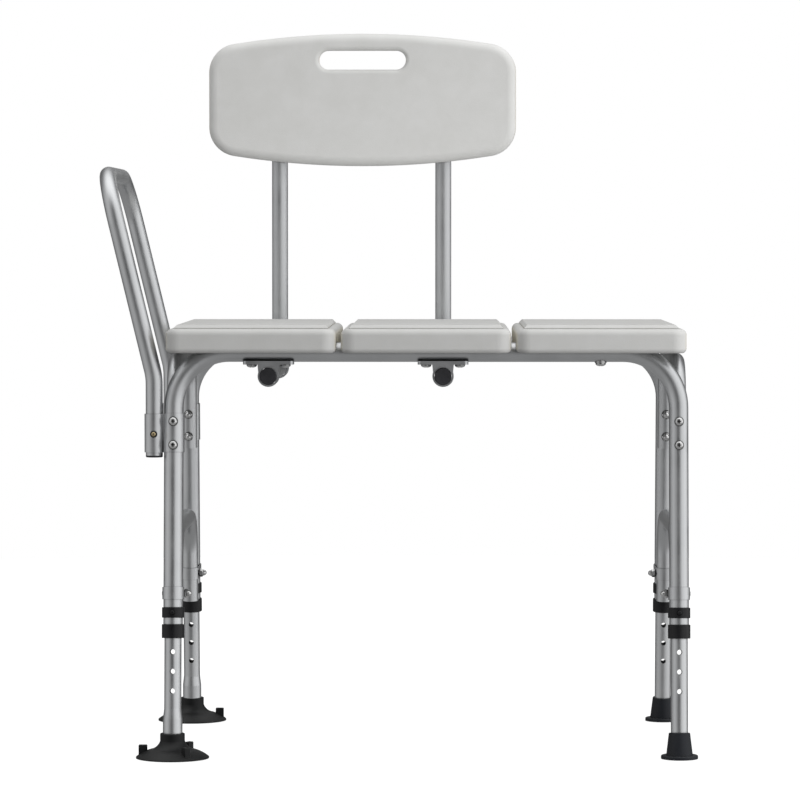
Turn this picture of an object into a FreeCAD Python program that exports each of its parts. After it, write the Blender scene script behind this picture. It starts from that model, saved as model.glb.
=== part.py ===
import FreeCAD, Part
import math
import os
import Sketcher

# Bath transfer bench, in millimetres. +X is to the right of somebody who faces the front of the
# bench, +Y is towards the backrest and +Z is up. The floor is Z = 0, and the origin is under the
# middle of the whole bench, arm rail included.

Vector = FreeCAD.Vector
Rotation = FreeCAD.Rotation
Placement = FreeCAD.Placement

X_AXIS = Vector(1, 0, 0)
Y_AXIS = Vector(0, 1, 0)
Z_AXIS = Vector(0, 0, 1)

LEFT, RIGHT = -1, 1
FRONT, REAR = -1, 1
SIDE_NAMES = {LEFT: "left", RIGHT: "right"}
END_NAMES = {FRONT: "front", REAR: "rear"}

doc = FreeCAD.newDocument("BathTransferBench")

# ---------------------------------------------------------------- driving dimensions

DIMENSIONS = [
    # whole bench
    ("leg_half_spacing", 328),
    ("rail_half_spacing", 161),
    ("rail_height", 524),
    ("splay", 5.5),
    # outer frame tubes
    ("frame_od", 25.4),
    ("frame_wall", 1.2),
    ("frame_bend", 72),
    ("frame_leg_end", 156),
    # inner tubes: leg extensions, side tubes, arch braces, posts and arm rail
    ("inner_od", 22.2),
    ("inner_wall", 1.2),
    ("nest_gap", 0.3),
    ("side_tube_height", 510.5),
    ("side_tube_end", 384),
    ("side_tube_bend", 45),
    ("arch_height", 291),
    ("arch_end", 171),
    ("arch_bend", 58),
    # frame bolts
    ("upper_bolt_height", 433.5),
    ("lower_bolt_height", 403),
    ("bolt_d", 6),
    ("bolt_head_d", 10.5),
    ("bolt_head_rise", 3.4),
    ("bolt_clearance", 0.4),
    ("saddle_washer", 1.2),
    ("nut_d", 10),
    ("nut_rise", 7.5),
    ("frame_bolt_spare", 4),
    # clamp bands on the arch braces
    ("clamp_height", 212),
    ("clamp_tall", 16),
    ("clamp_wall", 1.5),
    ("clamp_nut_rise", 10),
    ("clamp_bolt_spare", 5),
    # seat panels
    ("panel_pitch", 227),
    ("panel_width", 220.5),
    ("panel_depth", 406),
    ("panel_bottom", 523.5),
    ("panel_rim", 31.5),
    ("platform_rise", 5),
    ("platform_step", 1.2),
    ("platform_inset", 10.5),
    ("panel_corner", 18),
    ("panel_top_edge", 8),
    ("panel_bottom_edge", 6),
    ("panel_skin", 3),
    ("panel_side_skin", 4),
    ("end_chamber_side", 10),
    ("end_chamber_end", 8),
    ("channel_gap", 0.3),
    ("boss_bore_gap", 0.1),
    ("boss_hole_depth", 13),
    # post brackets and back posts
    ("post_offset", 22),
    ("bracket_hole_offset", 22),
    ("bracket_length", 66),
    ("bracket_width", 27),
    ("bracket_plate", 3.2),
    ("bracket_lip", 1.5),
    ("bracket_corner", 5),
    ("bracket_neck", 28),
    ("post_height", 493),
    ("post_ring_od", 27.7),
    ("slide_gap", 0.3),
    ("post_upright_y", 218),
    ("post_front_y", 178),
    ("post_top", 902),
    ("post_bend", 40),
    ("plug_head", 2.5),
    ("plug_length", 14),
    ("screw_d", 5),
    ("screw_head_d", 13.5),
    ("screw_head_rise", 4.4),
    ("screw_bite", 12),
    # backrest
    ("back_width", 425),
    ("back_height", 183),
    ("back_bow", 20),
    ("back_thickness", 26),
    ("back_front_y", 190),
    ("back_bottom", 771.8),
    ("back_corner", 40),
    ("back_edge", 12),
    ("back_shift", 1.7),
    ("back_skin", 4),
    ("back_chamber_wall", 8),
    ("back_chamber_end", 14),
    ("back_screw_above_bottom", 35),
    ("back_screw_below_top", 22),
    ("back_screw_cover", 7),
    ("hand_hole_width", 120),
    ("hand_hole_height", 26.5),
    ("hand_hole_above_centre", 55),
    ("hand_hole_edge", 6),
    # arm rail
    ("arm_rail_offset", 25.5),
    ("arm_rail_bottom", 390),
    ("arm_rail_kink", 492),
    ("arm_rail_kink_bend", 75),
    ("arm_rail_lean", 13.6),
    ("arm_rail_top", 755),
    ("arm_rail_top_bend", 65),
    ("arm_bracket_bottom", 394),
    ("arm_bracket_tall", 50),
    ("sleeve_wall", 1.3),
    ("sleeve_hole_d", 9.4),
    ("arm_button_height", 418),
    # leg extensions, snap rings, collars and buttons
    ("hole_pitch", 25.4),
    ("leg_hole_d", 6.8),
    ("snap_height", 187),
    ("holes_below", 4),
    ("holes_above", 2),
    ("extension_top", 272),
    ("swage_top", 63),
    ("swage_length", 13),
    ("swage_od", 25.4),
    ("ring_od", 29),
    ("ring_tall", 13.6),
    ("ring_mouth_d", 27),
    ("ring_edge", 0.8),
    ("collar_od", 29.2),
    ("collar_tall", 18),
    ("collar_bottom", 154),
    ("button_d", 6),
    ("button_hole_d", 6.8),
    ("button_proud", 2.2),
    ("spring_thickness", 0.8),
    ("spring_width", 8),
    ("spring_height", 34),
    # feet
    ("cup_d", 94.6),
    ("cup_rim", 1.6),
    ("cup_brow_d", 58),
    ("cup_brow", 11),
    ("cup_neck_d", 32),
    ("cup_neck_top", 32),
    ("cup_neck_foot", 22),
    ("cup_flare", 17),
    ("cup_hollow", 4),
    ("cup_lip", 3),
    ("cup_edge", 1.2),
    ("socket_floor", 8),
    ("tab_width", 11),
    ("tab_height", 17),
    ("tab_thickness", 7),
    ("tab_inset", 3.5),
    ("tip_flange_d", 48),
    ("tip_flange", 4.5),
    ("tip_base_d", 35),
    ("tip_top_d", 27.6),
    ("tip_top", 33),
    ("tip_flange_edge", 1.6),
]

sizes = doc.addObject("Spreadsheet::Sheet", "Sizes")
for row, (alias, number) in enumerate(DIMENSIONS, start=1):
    sizes.set(f"A{row}", alias)
    sizes.set(f"B{row}", str(number))
    sizes.setAlias(f"B{row}", alias)
doc.recompute()


def value(expression):
    """The number that an expression over the sheet's cells comes to."""
    return float(sizes.evalExpression(expression))


def size(alias):
    """The number in one cell of the sheet."""
    return value(f"Sizes.{alias}")


# ---------------------------------------------------------------- sketches and features

def origin_feature(body, role):
    """A body's own origin plane or axis."""
    return next(f for f in body.Origin.OriginFeatures if f.Role == role)


def new_body(name, placement=None):
    """An empty PartDesign body for one sub-part."""
    body = doc.addObject("PartDesign::Body", name)
    body.Label = name
    if placement:
        body.Placement = placement
    return body


def new_sketch(body, plane, name, offset=None):
    """A sketch on one of the body's origin planes, moved along the plane's normal by an expression."""
    sketch = body.newObject("Sketcher::SketchObject", f"{body.Name}_{name}")
    sketch.AttachmentSupport = [(origin_feature(body, plane), "")]
    sketch.MapMode = "FlatFace"
    if offset:
        sketch.setExpression("AttachmentOffset.Base.z", offset)
        doc.recompute()
    return sketch


def bind(sketch, kind, *place, expression):
    """A dimension of a sketch that follows the sheet."""
    index = sketch.addConstraint(Sketcher.Constraint(kind, *place, value(expression)))
    sketch.setExpression(f"Constraints[{index}]", expression)


def pin_point(sketch, geometry, end, x, y):
    """Ties a point of a sketch to expressions for its x and y."""
    for kind, axis, expression in (("DistanceX", -2, x), ("DistanceY", -1, y)):
        if abs(value(expression)) < 1e-9:
            sketch.addConstraint(Sketcher.Constraint("PointOnObject", geometry, end, axis))
        else:
            bind(sketch, kind, -1, 1, geometry, end, expression=expression)


def add_circle(sketch, radius, x="0", y="0"):
    """A circle whose centre and radius follow the sheet."""
    centre = Vector(value(x), value(y), 0)
    index = sketch.addGeometry(Part.Circle(centre, Z_AXIS, value(radius)))
    pin_point(sketch, index, 3, x, y)
    bind(sketch, "Radius", index, expression=radius)


def add_polygon(sketch, corners):
    """A closed outline of straight lines between corners given as pairs of expressions."""
    points = [Vector(value(x), value(y), 0) for x, y in corners]
    lines = [
        sketch.addGeometry(Part.LineSegment(point, points[(i + 1) % len(points)]))
        for i, point in enumerate(points)
    ]
    for i, line in enumerate(lines):
        sketch.addConstraint(Sketcher.Constraint("Coincident", line, 2, lines[(i + 1) % len(lines)], 1))
    for line, (x, y) in zip(lines, corners):
        pin_point(sketch, line, 1, x, y)


def add_rectangle(sketch, half_x, half_y):
    """A rectangle about the sketch's origin."""
    add_polygon(
        sketch,
        [
            (f"-({half_x})", f"-({half_y})"),
            (half_x, f"-({half_y})"),
            (half_x, half_y),
            (f"-({half_x})", half_y),
        ],
    )


def rounded_path(body, plane, name, corners, radius):
    """An open path of straight runs joined by tangent arcs of one radius."""
    sketch = new_sketch(body, plane, name)
    points = [Vector(value(x), value(y), 0) for x, y in corners]
    bend = value(radius)
    runs = []
    arcs = []
    start = points[0]
    for before, corner, after in zip(points, points[1:], points[2:]):
        back = (before - corner).normalize()
        on = (after - corner).normalize()
        half = back.getAngle(on) / 2
        tangent = bend / math.tan(half)
        first = corner + back * tangent
        last = corner + on * tangent
        centre = corner + (back + on).normalize() * (bend / math.sin(half))
        leftward = (first - centre).cross(last - centre).z > 0
        low, high = (first, last) if leftward else (last, first)
        low_angle = math.atan2(low.y - centre.y, low.x - centre.x)
        high_angle = math.atan2(high.y - centre.y, high.x - centre.x)
        if high_angle < low_angle:
            high_angle += 2 * math.pi
        circle = Part.Circle(centre, Z_AXIS, bend)
        runs.append(sketch.addGeometry(Part.LineSegment(start, first)))
        arcs.append((sketch.addGeometry(Part.ArcOfCircle(circle, low_angle, high_angle)), leftward))
        start = last
    runs.append(sketch.addGeometry(Part.LineSegment(start, points[-1])))
    for i, (arc, leftward) in enumerate(arcs):
        enter, leave = (1, 2) if leftward else (2, 1)
        sketch.addConstraint(Sketcher.Constraint("Tangent", runs[i], 2, arc, enter))
        sketch.addConstraint(Sketcher.Constraint("Tangent", arc, leave, runs[i + 1], 1))
        bind(sketch, "Radius", arc, expression=radius)
        corner = sketch.addGeometry(Part.Point(points[i + 1]), True)
        sketch.addConstraint(Sketcher.Constraint("PointOnObject", corner, 1, runs[i]))
        sketch.addConstraint(Sketcher.Constraint("PointOnObject", corner, 1, runs[i + 1]))
        pin_point(sketch, corner, 1, *corners[i + 1])
    pin_point(sketch, runs[0], 1, *corners[0])
    pin_point(sketch, runs[-1], 2, *corners[-1])
    doc.recompute()
    return sketch


def bent_tube(name, placement, plane, corners, bend, od, wall):
    """A round tube bent along a path of straight runs and arcs."""
    body = new_body(name, placement)
    path = rounded_path(body, plane, "path", corners, bend)
    ring = body.newObject("Sketcher::SketchObject", f"{name}_ring")
    ring.AttachmentSupport = [(path, "Edge1")]
    ring.MapMode = "NormalToEdge"
    ring.MapPathParameter = 0.0
    doc.recompute()
    add_circle(ring, f"{od} / 2")
    add_circle(ring, f"{od} / 2 - {wall}")
    pipe = body.newObject("PartDesign::AdditivePipe", f"{name}_pipe")
    pipe.Profile = ring
    pipe.Spine = (path, [])
    doc.recompute()
    return body


def drill(body, name, diameter, start, direction, depth):
    """A round hole from a point of the body, as far as depth."""
    hole = body.newObject("PartDesign::SubtractiveCylinder", f"{body.Name}_{name}")
    hole.setExpression("Radius", f"({diameter}) / 2")
    hole.setExpression("Height", depth)
    hole.Placement = Placement(start, Rotation(Z_AXIS, direction))
    before = body.Shape.Volume
    doc.recompute()
    if body.Shape.Volume > before - 1e-3:
        raise RuntimeError(f"{hole.Name} cuts nothing")
    return hole


def pad(body, sketch, length, symmetric=False):
    """A pad whose length follows the sheet."""
    feature = body.newObject("PartDesign::Pad", f"{sketch.Name}_pad")
    feature.Profile = sketch
    feature.SideType = "Symmetric" if symmetric else "One side"
    feature.setExpression("Length", length)
    doc.recompute()
    return feature


def pocket(body, sketch, length=None, upward=False, symmetric=False):
    """A pocket against the sketch's normal, or along it when upward."""
    feature = body.newObject("PartDesign::Pocket", f"{sketch.Name}_pocket")
    feature.Profile = sketch
    feature.SideType = "Symmetric" if symmetric else "One side"
    feature.Reversed = upward
    if length:
        feature.setExpression("Length", length)
    else:
        feature.Type = "ThroughAll"
    before = body.Shape.Volume
    doc.recompute()
    if body.Shape.Volume > before - 1e-3:
        raise RuntimeError(f"{feature.Name} cuts nothing")
    return feature


def round_edges(body, name, radius, wanted):
    """A fillet on every edge of the body's tip that wanted() accepts."""
    base = body.Tip
    names = [f"Edge{i}" for i, edge in enumerate(base.Shape.Edges, start=1) if wanted(edge)]
    if not names:
        raise RuntimeError(f"{body.Name}: no edges for {name}")
    fillet = body.newObject("PartDesign::Fillet", f"{body.Name}_{name}")
    fillet.Base = (base, names)
    fillet.setExpression("Radius", radius)
    doc.recompute()
    return fillet


def level(edge, height, axis="z"):
    """Whether an edge lies in the plane where the axis has this height."""
    box = edge.BoundBox
    low, high = getattr(box, f"{axis.upper()}Min"), getattr(box, f"{axis.upper()}Max")
    return abs(low - height) < 0.02 and abs(high - height) < 0.02


def revolve(body, sketch, name="turn"):
    """A full turn of a sketch on the XZ plane about the body's Z axis."""
    feature = body.newObject("PartDesign::Revolution", f"{body.Name}_{name}")
    feature.Profile = sketch
    feature.ReferenceAxis = (origin_feature(body, "Z_Axis"), [""])
    feature.Angle = 360
    doc.recompute()
    return feature


# ---------------------------------------------------------------- where things are

ARM_RAIL_LEAN = math.tan(math.radians(size("arm_rail_lean"))) * (size("arm_rail_top") - size("arm_rail_kink"))
ARM_RAIL_REACH = size("leg_half_spacing") + size("arm_rail_offset") + ARM_RAIL_LEAN + size("inner_od") / 2
RIGHT_TIP_REACH = size("leg_half_spacing") + size("tip_flange_d") / 2
# the frame's middle stands off the whole bench's middle because the arm rail leans out on the left
MIDDLE_X = (ARM_RAIL_REACH - RIGHT_TIP_REACH) / 2
SPLAY = size("splay")
SPLAY_TAN = math.tan(math.radians(SPLAY))
SPLAY_COS = math.cos(math.radians(SPLAY))


def leg_point(side, end, height):
    """The point of a leg's axis at a height above the floor."""
    drop = size("rail_height") - height
    y = end * (size("rail_half_spacing") + drop * SPLAY_TAN)
    return Vector(MIDDLE_X + side * size("leg_half_spacing"), y, height)


def leg_frame(side, end, height):
    """A frame on a leg: +Z up the leg, -Y away from the bench and +Y towards its middle."""
    tilt = Rotation(X_AXIS, end * SPLAY)
    face = Rotation(Z_AXIS, 0 if end == FRONT else 180)
    return Placement(leg_point(side, end, height), tilt.multiply(face))


def along_leg(low, high):
    """An expression for the length of leg between two heights above the floor."""
    return f"(({high}) - ({low})) / cos(Sizes.splay)"


def leg_corners():
    """Every leg as side, end and name."""
    for side in (LEFT, RIGHT):
        for end in (FRONT, REAR):
            yield side, end, f"{END_NAMES[end]}_{SIDE_NAMES[side]}"


# distance from a leg's axis to the axis of the tube nested beside it
NEST = "(Sizes.frame_od / 2 + Sizes.inner_od / 2 + Sizes.nest_gap)"
PANEL_CENTRES = {"left": -size("panel_pitch"), "middle": 0, "right": size("panel_pitch")}
POST_CENTRES = {name: PANEL_CENTRES[name] + size("post_offset") for name in ("left", "middle")}


# ---------------------------------------------------------------- frame

def make_frame_tube(end):
    """One tube that is a leg, the seat rail and the other leg, leaning out about the rail."""
    name = f"{END_NAMES[end]}_frame_tube"
    tilt = Rotation(X_AXIS, end * SPLAY)
    placement = Placement(Vector(MIDDLE_X, end * size("rail_half_spacing"), size("rail_height")), tilt)
    half = "Sizes.leg_half_spacing"
    foot = f"-{along_leg('Sizes.frame_leg_end', 'Sizes.rail_height')}"
    corners = [(f"-{half}", foot), (f"-{half}", "0"), (half, "0"), (half, foot)]
    body = bent_tube(name, placement, "XZ_Plane", corners, "Sizes.frame_bend",
                     "Sizes.frame_od", "Sizes.frame_wall")
    od = size("frame_od")
    for side in (LEFT, RIGHT):
        x = side * size("leg_half_spacing")
        for bolt in ("upper", "lower"):
            z = -value(along_leg(f"Sizes.{bolt}_bolt_height", "Sizes.rail_height"))
            drill(body, f"{bolt}_bolt_{SIDE_NAMES[side]}", "Sizes.bolt_d + Sizes.bolt_clearance",
                  Vector(x, -od, z), Y_AXIS, "Sizes.frame_od * 2")
        z = -value(along_leg("Sizes.snap_height", "Sizes.rail_height"))
        drill(body, f"button_{SIDE_NAMES[side]}", "Sizes.button_hole_d",
              Vector(x, 0, z), Y_AXIS * end, "Sizes.frame_od")
    upright = tilt.inverted().multVec(Z_AXIS)
    for x in rail_screw_places():
        drill(body, f"screw_{round(x)}".replace("-", "m"), "Sizes.screw_d + Sizes.bolt_clearance",
              Vector(x, 0, 0) - upright * od, upright, "Sizes.frame_od * 2")
    return body


def rail_screw_places():
    """Where screws pass up through a rail, from the middle of the frame."""
    for name, centre in PANEL_CENTRES.items():
        yield centre
        if name in POST_CENTRES:
            yield centre + 2 * size("bracket_hole_offset")


def make_nested_tube(name, side, top, foot, bend):
    """A bent tube that stands between the front and rear legs of one side, just inside them."""
    placement = Placement(Vector(MIDDLE_X + side * size("leg_half_spacing"), 0, 0), Rotation())
    nest = f"{NEST} / cos(Sizes.splay)"

    def half_width(height):
        return f"(Sizes.rail_half_spacing + (Sizes.rail_height - {height}) * tan(Sizes.splay) - {nest})"

    corners = [
        (f"-{half_width(foot)}", foot),
        (f"-{half_width(top)}", top),
        (half_width(top), top),
        (half_width(foot), foot),
    ]
    return bent_tube(name, placement, "YZ_Plane", corners, bend, "Sizes.inner_od", "Sizes.inner_wall")


def nested_point(end, height):
    """A point on a nested tube's axis, in its own frame, and the direction out through the leg."""
    outward = Rotation(X_AXIS, end * SPLAY).multVec(Vector(0, end, 0))
    leg = Vector(0, end * (size("rail_half_spacing") + (size("rail_height") - height) * SPLAY_TAN), height)
    return leg - outward * value(NEST), outward


def make_side_tube(side):
    """The upper tube, bolted through to both legs of its side."""
    name = f"side_tube_{SIDE_NAMES[side]}"
    body = make_nested_tube(name, side, "Sizes.side_tube_height", "Sizes.side_tube_end",
                            "Sizes.side_tube_bend")
    for end in (FRONT, REAR):
        for bolt in ("upper", "lower"):
            centre, outward = nested_point(end, size(f"{bolt}_bolt_height"))
            drill(body, f"{bolt}_{END_NAMES[end]}", "Sizes.bolt_d + Sizes.bolt_clearance",
                  centre - outward * size("inner_od"), outward, "Sizes.inner_od * 2")
    return body


def make_arch_brace(side):
    """The lower tube, clamped to both legs of its side."""
    name = f"arch_brace_{SIDE_NAMES[side]}"
    body = make_nested_tube(name, side, "Sizes.arch_height", "Sizes.arch_end", "Sizes.arch_bend")
    for end in (FRONT, REAR):
        centre, _ = nested_point(end, size("clamp_height"))
        drill(body, f"bolt_{END_NAMES[end]}", "Sizes.bolt_d + Sizes.bolt_clearance",
              centre - X_AXIS * size("inner_od"), X_AXIS, "Sizes.inner_od * 2")
    return body


def add_belt(sketch, small, large, distance):
    """The outline of a belt round a large circle at the origin and a small one along +Y."""
    near, far, gap = value(large), value(small), value(distance)
    lean = math.asin((near - far) / gap)
    centres = (Vector(0, 0, 0), Vector(0, gap, 0))
    arcs = []
    for centre, radius, first, last in (
        (centres[0], near, math.pi - lean, 2 * math.pi + lean),
        (centres[1], far, lean, math.pi - lean),
    ):
        circle = Part.Circle(centre, Z_AXIS, radius)
        arcs.append(sketch.addGeometry(Part.ArcOfCircle(circle, first, last)))
    ends = [
        [centre + Vector(math.cos(a), math.sin(a), 0) * radius for a in (lean, math.pi - lean)]
        for centre, radius in zip(centres, (near, far))
    ]
    right = sketch.addGeometry(Part.LineSegment(ends[0][0], ends[1][0]))
    left = sketch.addGeometry(Part.LineSegment(ends[1][1], ends[0][1]))
    for arc, arc_end, line, line_end in (
        (arcs[0], 2, right, 1), (right, 2, arcs[1], 1), (arcs[1], 2, left, 1), (left, 2, arcs[0], 1),
    ):
        sketch.addConstraint(Sketcher.Constraint("Tangent", arc, arc_end, line, line_end))
    pin_point(sketch, arcs[0], 3, "0", "0")
    pin_point(sketch, arcs[1], 3, "0", distance)
    bind(sketch, "Radius", arcs[0], expression=large)
    bind(sketch, "Radius", arcs[1], expression=small)


def make_brace_clamp(side, end, name):
    """The metal band that wraps a leg and the end of an arch brace."""
    body = new_body(f"brace_clamp_{name}", leg_frame(side, end, size("clamp_height")))
    sketch = new_sketch(body, "XY_Plane", "outline")
    add_belt(sketch, "Sizes.inner_od / 2 + Sizes.clamp_wall", "Sizes.frame_od / 2 + Sizes.clamp_wall", NEST)
    pad(body, sketch, "Sizes.clamp_tall", symmetric=True)
    inner = new_sketch(body, "XY_Plane", "inside")
    add_belt(inner, "Sizes.inner_od / 2", "Sizes.frame_od / 2", NEST)
    pocket(body, inner, symmetric=True)
    reach = size("frame_od")
    drill(body, "bolt", "Sizes.bolt_d + Sizes.bolt_clearance",
          Vector(-reach, value(NEST), 0), X_AXIS, "Sizes.frame_od * 2")
    return body


# ---------------------------------------------------------------- seat

def make_seat_panel(name, centre):
    """A blow-moulded seat panel: a rim, a raised platform, two channels that sit on the rails."""
    place = Vector(MIDDLE_X + centre, 0, size("panel_bottom"))
    body = new_body(f"seat_panel_{name}", Placement(place, Rotation()))
    half_x, half_y = "Sizes.panel_width / 2", "Sizes.panel_depth / 2"
    outline = new_sketch(body, "XY_Plane", "rim")
    add_rectangle(outline, half_x, half_y)
    pad(body, outline, "Sizes.panel_rim")
    round_edges(body, "corners", "Sizes.panel_corner", lambda edge: edge.BoundBox.ZLength > 20)
    raised = new_sketch(body, "XY_Plane", "platform", "Sizes.panel_rim")
    inset = (f"{half_x} - Sizes.platform_inset", f"{half_y} - Sizes.platform_inset")
    add_rectangle(raised, *inset)
    pad(body, raised, "Sizes.platform_step")
    bevel = new_sketch(body, "XY_Plane", "bevel", "Sizes.panel_rim + Sizes.platform_step")
    add_rectangle(bevel, *inset)
    platform = pad(body, bevel, "Sizes.platform_rise - Sizes.platform_step")
    platform.TaperAngle = -45
    doc.recompute()
    if platform.Shape.BoundBox.XLength > size("panel_width") + 0.01:
        raise RuntimeError("the platform's sides lean the wrong way")
    top = size("panel_rim")
    outer_x, outer_y = value(half_x), value(half_y)

    def on_rim(edge):
        box = edge.BoundBox
        outside = max(abs(box.XMin), abs(box.XMax)) > outer_x - 0.1
        return level(edge, top) and (outside or max(abs(box.YMin), abs(box.YMax)) > outer_y - 0.1)

    round_edges(body, "top_edge", "Sizes.panel_top_edge", on_rim)
    round_edges(body, "bottom_edge", "Sizes.panel_bottom_edge", lambda edge: level(edge, 0))
    rail_above = "(Sizes.rail_height - Sizes.panel_bottom)"
    for end in (FRONT, REAR):
        channel = new_sketch(body, "YZ_Plane", f"channel_{END_NAMES[end]}")
        y = end * size("rail_half_spacing")
        radius = size("frame_od") / 2 + size("channel_gap")
        sign = "-" if end == FRONT else ""
        add_channel(channel, f"{sign}Sizes.rail_half_spacing", rail_above,
                    "Sizes.frame_od / 2 + Sizes.channel_gap", y, radius)
        pocket(body, channel, symmetric=True)
        for number, x in enumerate((0, 2 * size("bracket_hole_offset"))):
            drill(body, f"screw_{END_NAMES[end]}_{number}", "Sizes.screw_d + Sizes.boss_bore_gap",
                  Vector(x, y, 0), Z_AXIS, f"{rail_above} + Sizes.frame_od / 2 + Sizes.boss_hole_depth")
    chamber = new_sketch(body, "XY_Plane", "chamber", "Sizes.panel_skin")
    room_y = "Sizes.rail_half_spacing - Sizes.frame_od / 2 - Sizes.channel_gap - Sizes.panel_skin"
    add_rectangle(chamber, f"{half_x} - Sizes.panel_side_skin", room_y)
    pocket(body, chamber, "Sizes.panel_rim - 2 * Sizes.panel_skin", upward=True)
    near = "Sizes.rail_half_spacing + Sizes.frame_od / 2 + Sizes.channel_gap + Sizes.panel_skin"
    for end in (FRONT, REAR):
        sign = "-" if end == FRONT else ""
        room = new_sketch(body, "XY_Plane", f"chamber_{END_NAMES[end]}", "Sizes.panel_skin")
        wide = f"({half_x} - Sizes.end_chamber_side)"
        ends = (f"{sign}({near})", f"{sign}({half_y} - Sizes.end_chamber_end)")
        add_polygon(room, [(f"-{wide}", ends[0]), (wide, ends[0]), (wide, ends[1]), (f"-{wide}", ends[1])])
        pocket(body, room, "Sizes.panel_rim - 2 * Sizes.panel_skin", upward=True)
    return body


def add_channel(sketch, y, z, radius, y_now, radius_now):
    """A slot that is open downwards and ends in a half circle, for a rail to lie in."""
    z_now = value(z)
    low = z_now - 2 * radius_now
    arc_circle = Part.Circle(Vector(y_now, z_now, 0), Z_AXIS, radius_now)
    arc = sketch.addGeometry(Part.ArcOfCircle(arc_circle, 0, math.pi))
    points = [
        Vector(y_now - radius_now, z_now, 0),
        Vector(y_now - radius_now, low, 0),
        Vector(y_now + radius_now, low, 0),
        Vector(y_now + radius_now, z_now, 0),
    ]
    lines = [sketch.addGeometry(Part.LineSegment(a, b)) for a, b in zip(points, points[1:])]
    pin_point(sketch, arc, 3, y, z)
    bind(sketch, "Radius", arc, expression=radius)
    sketch.addConstraint(Sketcher.Constraint("Tangent", arc, 2, lines[0], 1))
    sketch.addConstraint(Sketcher.Constraint("Coincident", lines[0], 2, lines[1], 1))
    sketch.addConstraint(Sketcher.Constraint("Coincident", lines[1], 2, lines[2], 1))
    sketch.addConstraint(Sketcher.Constraint("Tangent", lines[2], 2, arc, 1))
    sketch.addConstraint(Sketcher.Constraint("Horizontal", lines[1]))
    sketch.addConstraint(Sketcher.Constraint("Vertical", lines[0]))
    bind(sketch, "Distance", lines[0], expression=f"2 * ({radius})")


# ---------------------------------------------------------------- brackets and posts of the back

def make_post_bracket(panel, end):
    """A plate under a rail with a ring below it that a back post slides through."""
    number = "left" if panel == "left" else "right"
    place = Vector(MIDDLE_X + POST_CENTRES[panel], end * size("rail_half_spacing"), size("post_height"))
    body = new_body(f"post_bracket_{END_NAMES[end]}_{number}", Placement(place, Rotation()))
    rail = "(Sizes.rail_height - Sizes.post_height)"
    plate_low = f"({rail} - Sizes.frame_od / 2 - Sizes.bracket_plate)"
    plate_high = f"({rail} - Sizes.frame_od / 2 + Sizes.bracket_lip)"
    side = new_sketch(body, "XZ_Plane", "side")
    half, neck = "Sizes.bracket_length / 2", "Sizes.bracket_neck / 2"
    ring = "Sizes.post_ring_od / 2"
    add_polygon(side, [
        (f"-({half})", plate_high), (f"-({half})", plate_low), (f"-({neck})", plate_low),
        (f"-({ring}) * 0.94", f"({ring}) * 0.34"), (f"({ring}) * 0.94", f"({ring}) * 0.34"),
        (neck, plate_low), (half, plate_low), (half, plate_high),
    ])
    pad(body, side, "Sizes.bracket_width", symmetric=True)
    round_edges(body, "plate_corners", "Sizes.bracket_corner",
                lambda edge: edge.BoundBox.ZLength > 2 and abs(abs(edge.BoundBox.XMin) - value(half)) < 0.1
                and edge.BoundBox.XLength < 0.1)
    hub = new_sketch(body, "XZ_Plane", "hub")
    add_circle(hub, ring)
    pad(body, hub, "Sizes.bracket_width", symmetric=True)
    reach = size("bracket_length")
    drill(body, "post", "Sizes.inner_od + 2 * Sizes.slide_gap", Vector(0, -reach, 0), Y_AXIS,
          "2 * Sizes.bracket_length")
    drill(body, "rail", "Sizes.frame_od + 2 * Sizes.boss_bore_gap", Vector(-reach, 0, value(rail)), X_AXIS,
          "2 * Sizes.bracket_length")
    for sign in (-1, 1):
        drill(body, f"screw_{'left' if sign < 0 else 'right'}", "Sizes.screw_d + Sizes.bolt_clearance",
              Vector(sign * size("bracket_hole_offset"), 0, 0), Z_AXIS, "Sizes.bracket_length")
    return body


def make_back_post(panel):
    """A bent tube that runs forward under the seat and rises behind it."""
    number = "left" if panel == "left" else "right"
    placement = Placement(Vector(MIDDLE_X + POST_CENTRES[panel], 0, 0), Rotation())
    corners = [
        ("-Sizes.post_front_y", "Sizes.post_height"),
        ("Sizes.post_upright_y", "Sizes.post_height"),
        ("Sizes.post_upright_y", "Sizes.post_top"),
    ]
    body = bent_tube(f"back_post_{number}", placement, "YZ_Plane", corners, "Sizes.post_bend",
                     "Sizes.inner_od", "Sizes.inner_wall")
    for level_name, height in back_screw_heights().items():
        drill(body, f"screw_{level_name}", "Sizes.screw_d + Sizes.bolt_clearance",
              Vector(0, size("post_upright_y") - size("inner_od"), height), Y_AXIS, "2 * Sizes.inner_od")
    return body


def back_screw_heights():
    """Heights of the screws that hold the backrest to each post."""
    return {
        "low": size("back_bottom") + size("back_screw_above_bottom"),
        "high": size("post_top") - size("back_screw_below_top"),
    }


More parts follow.
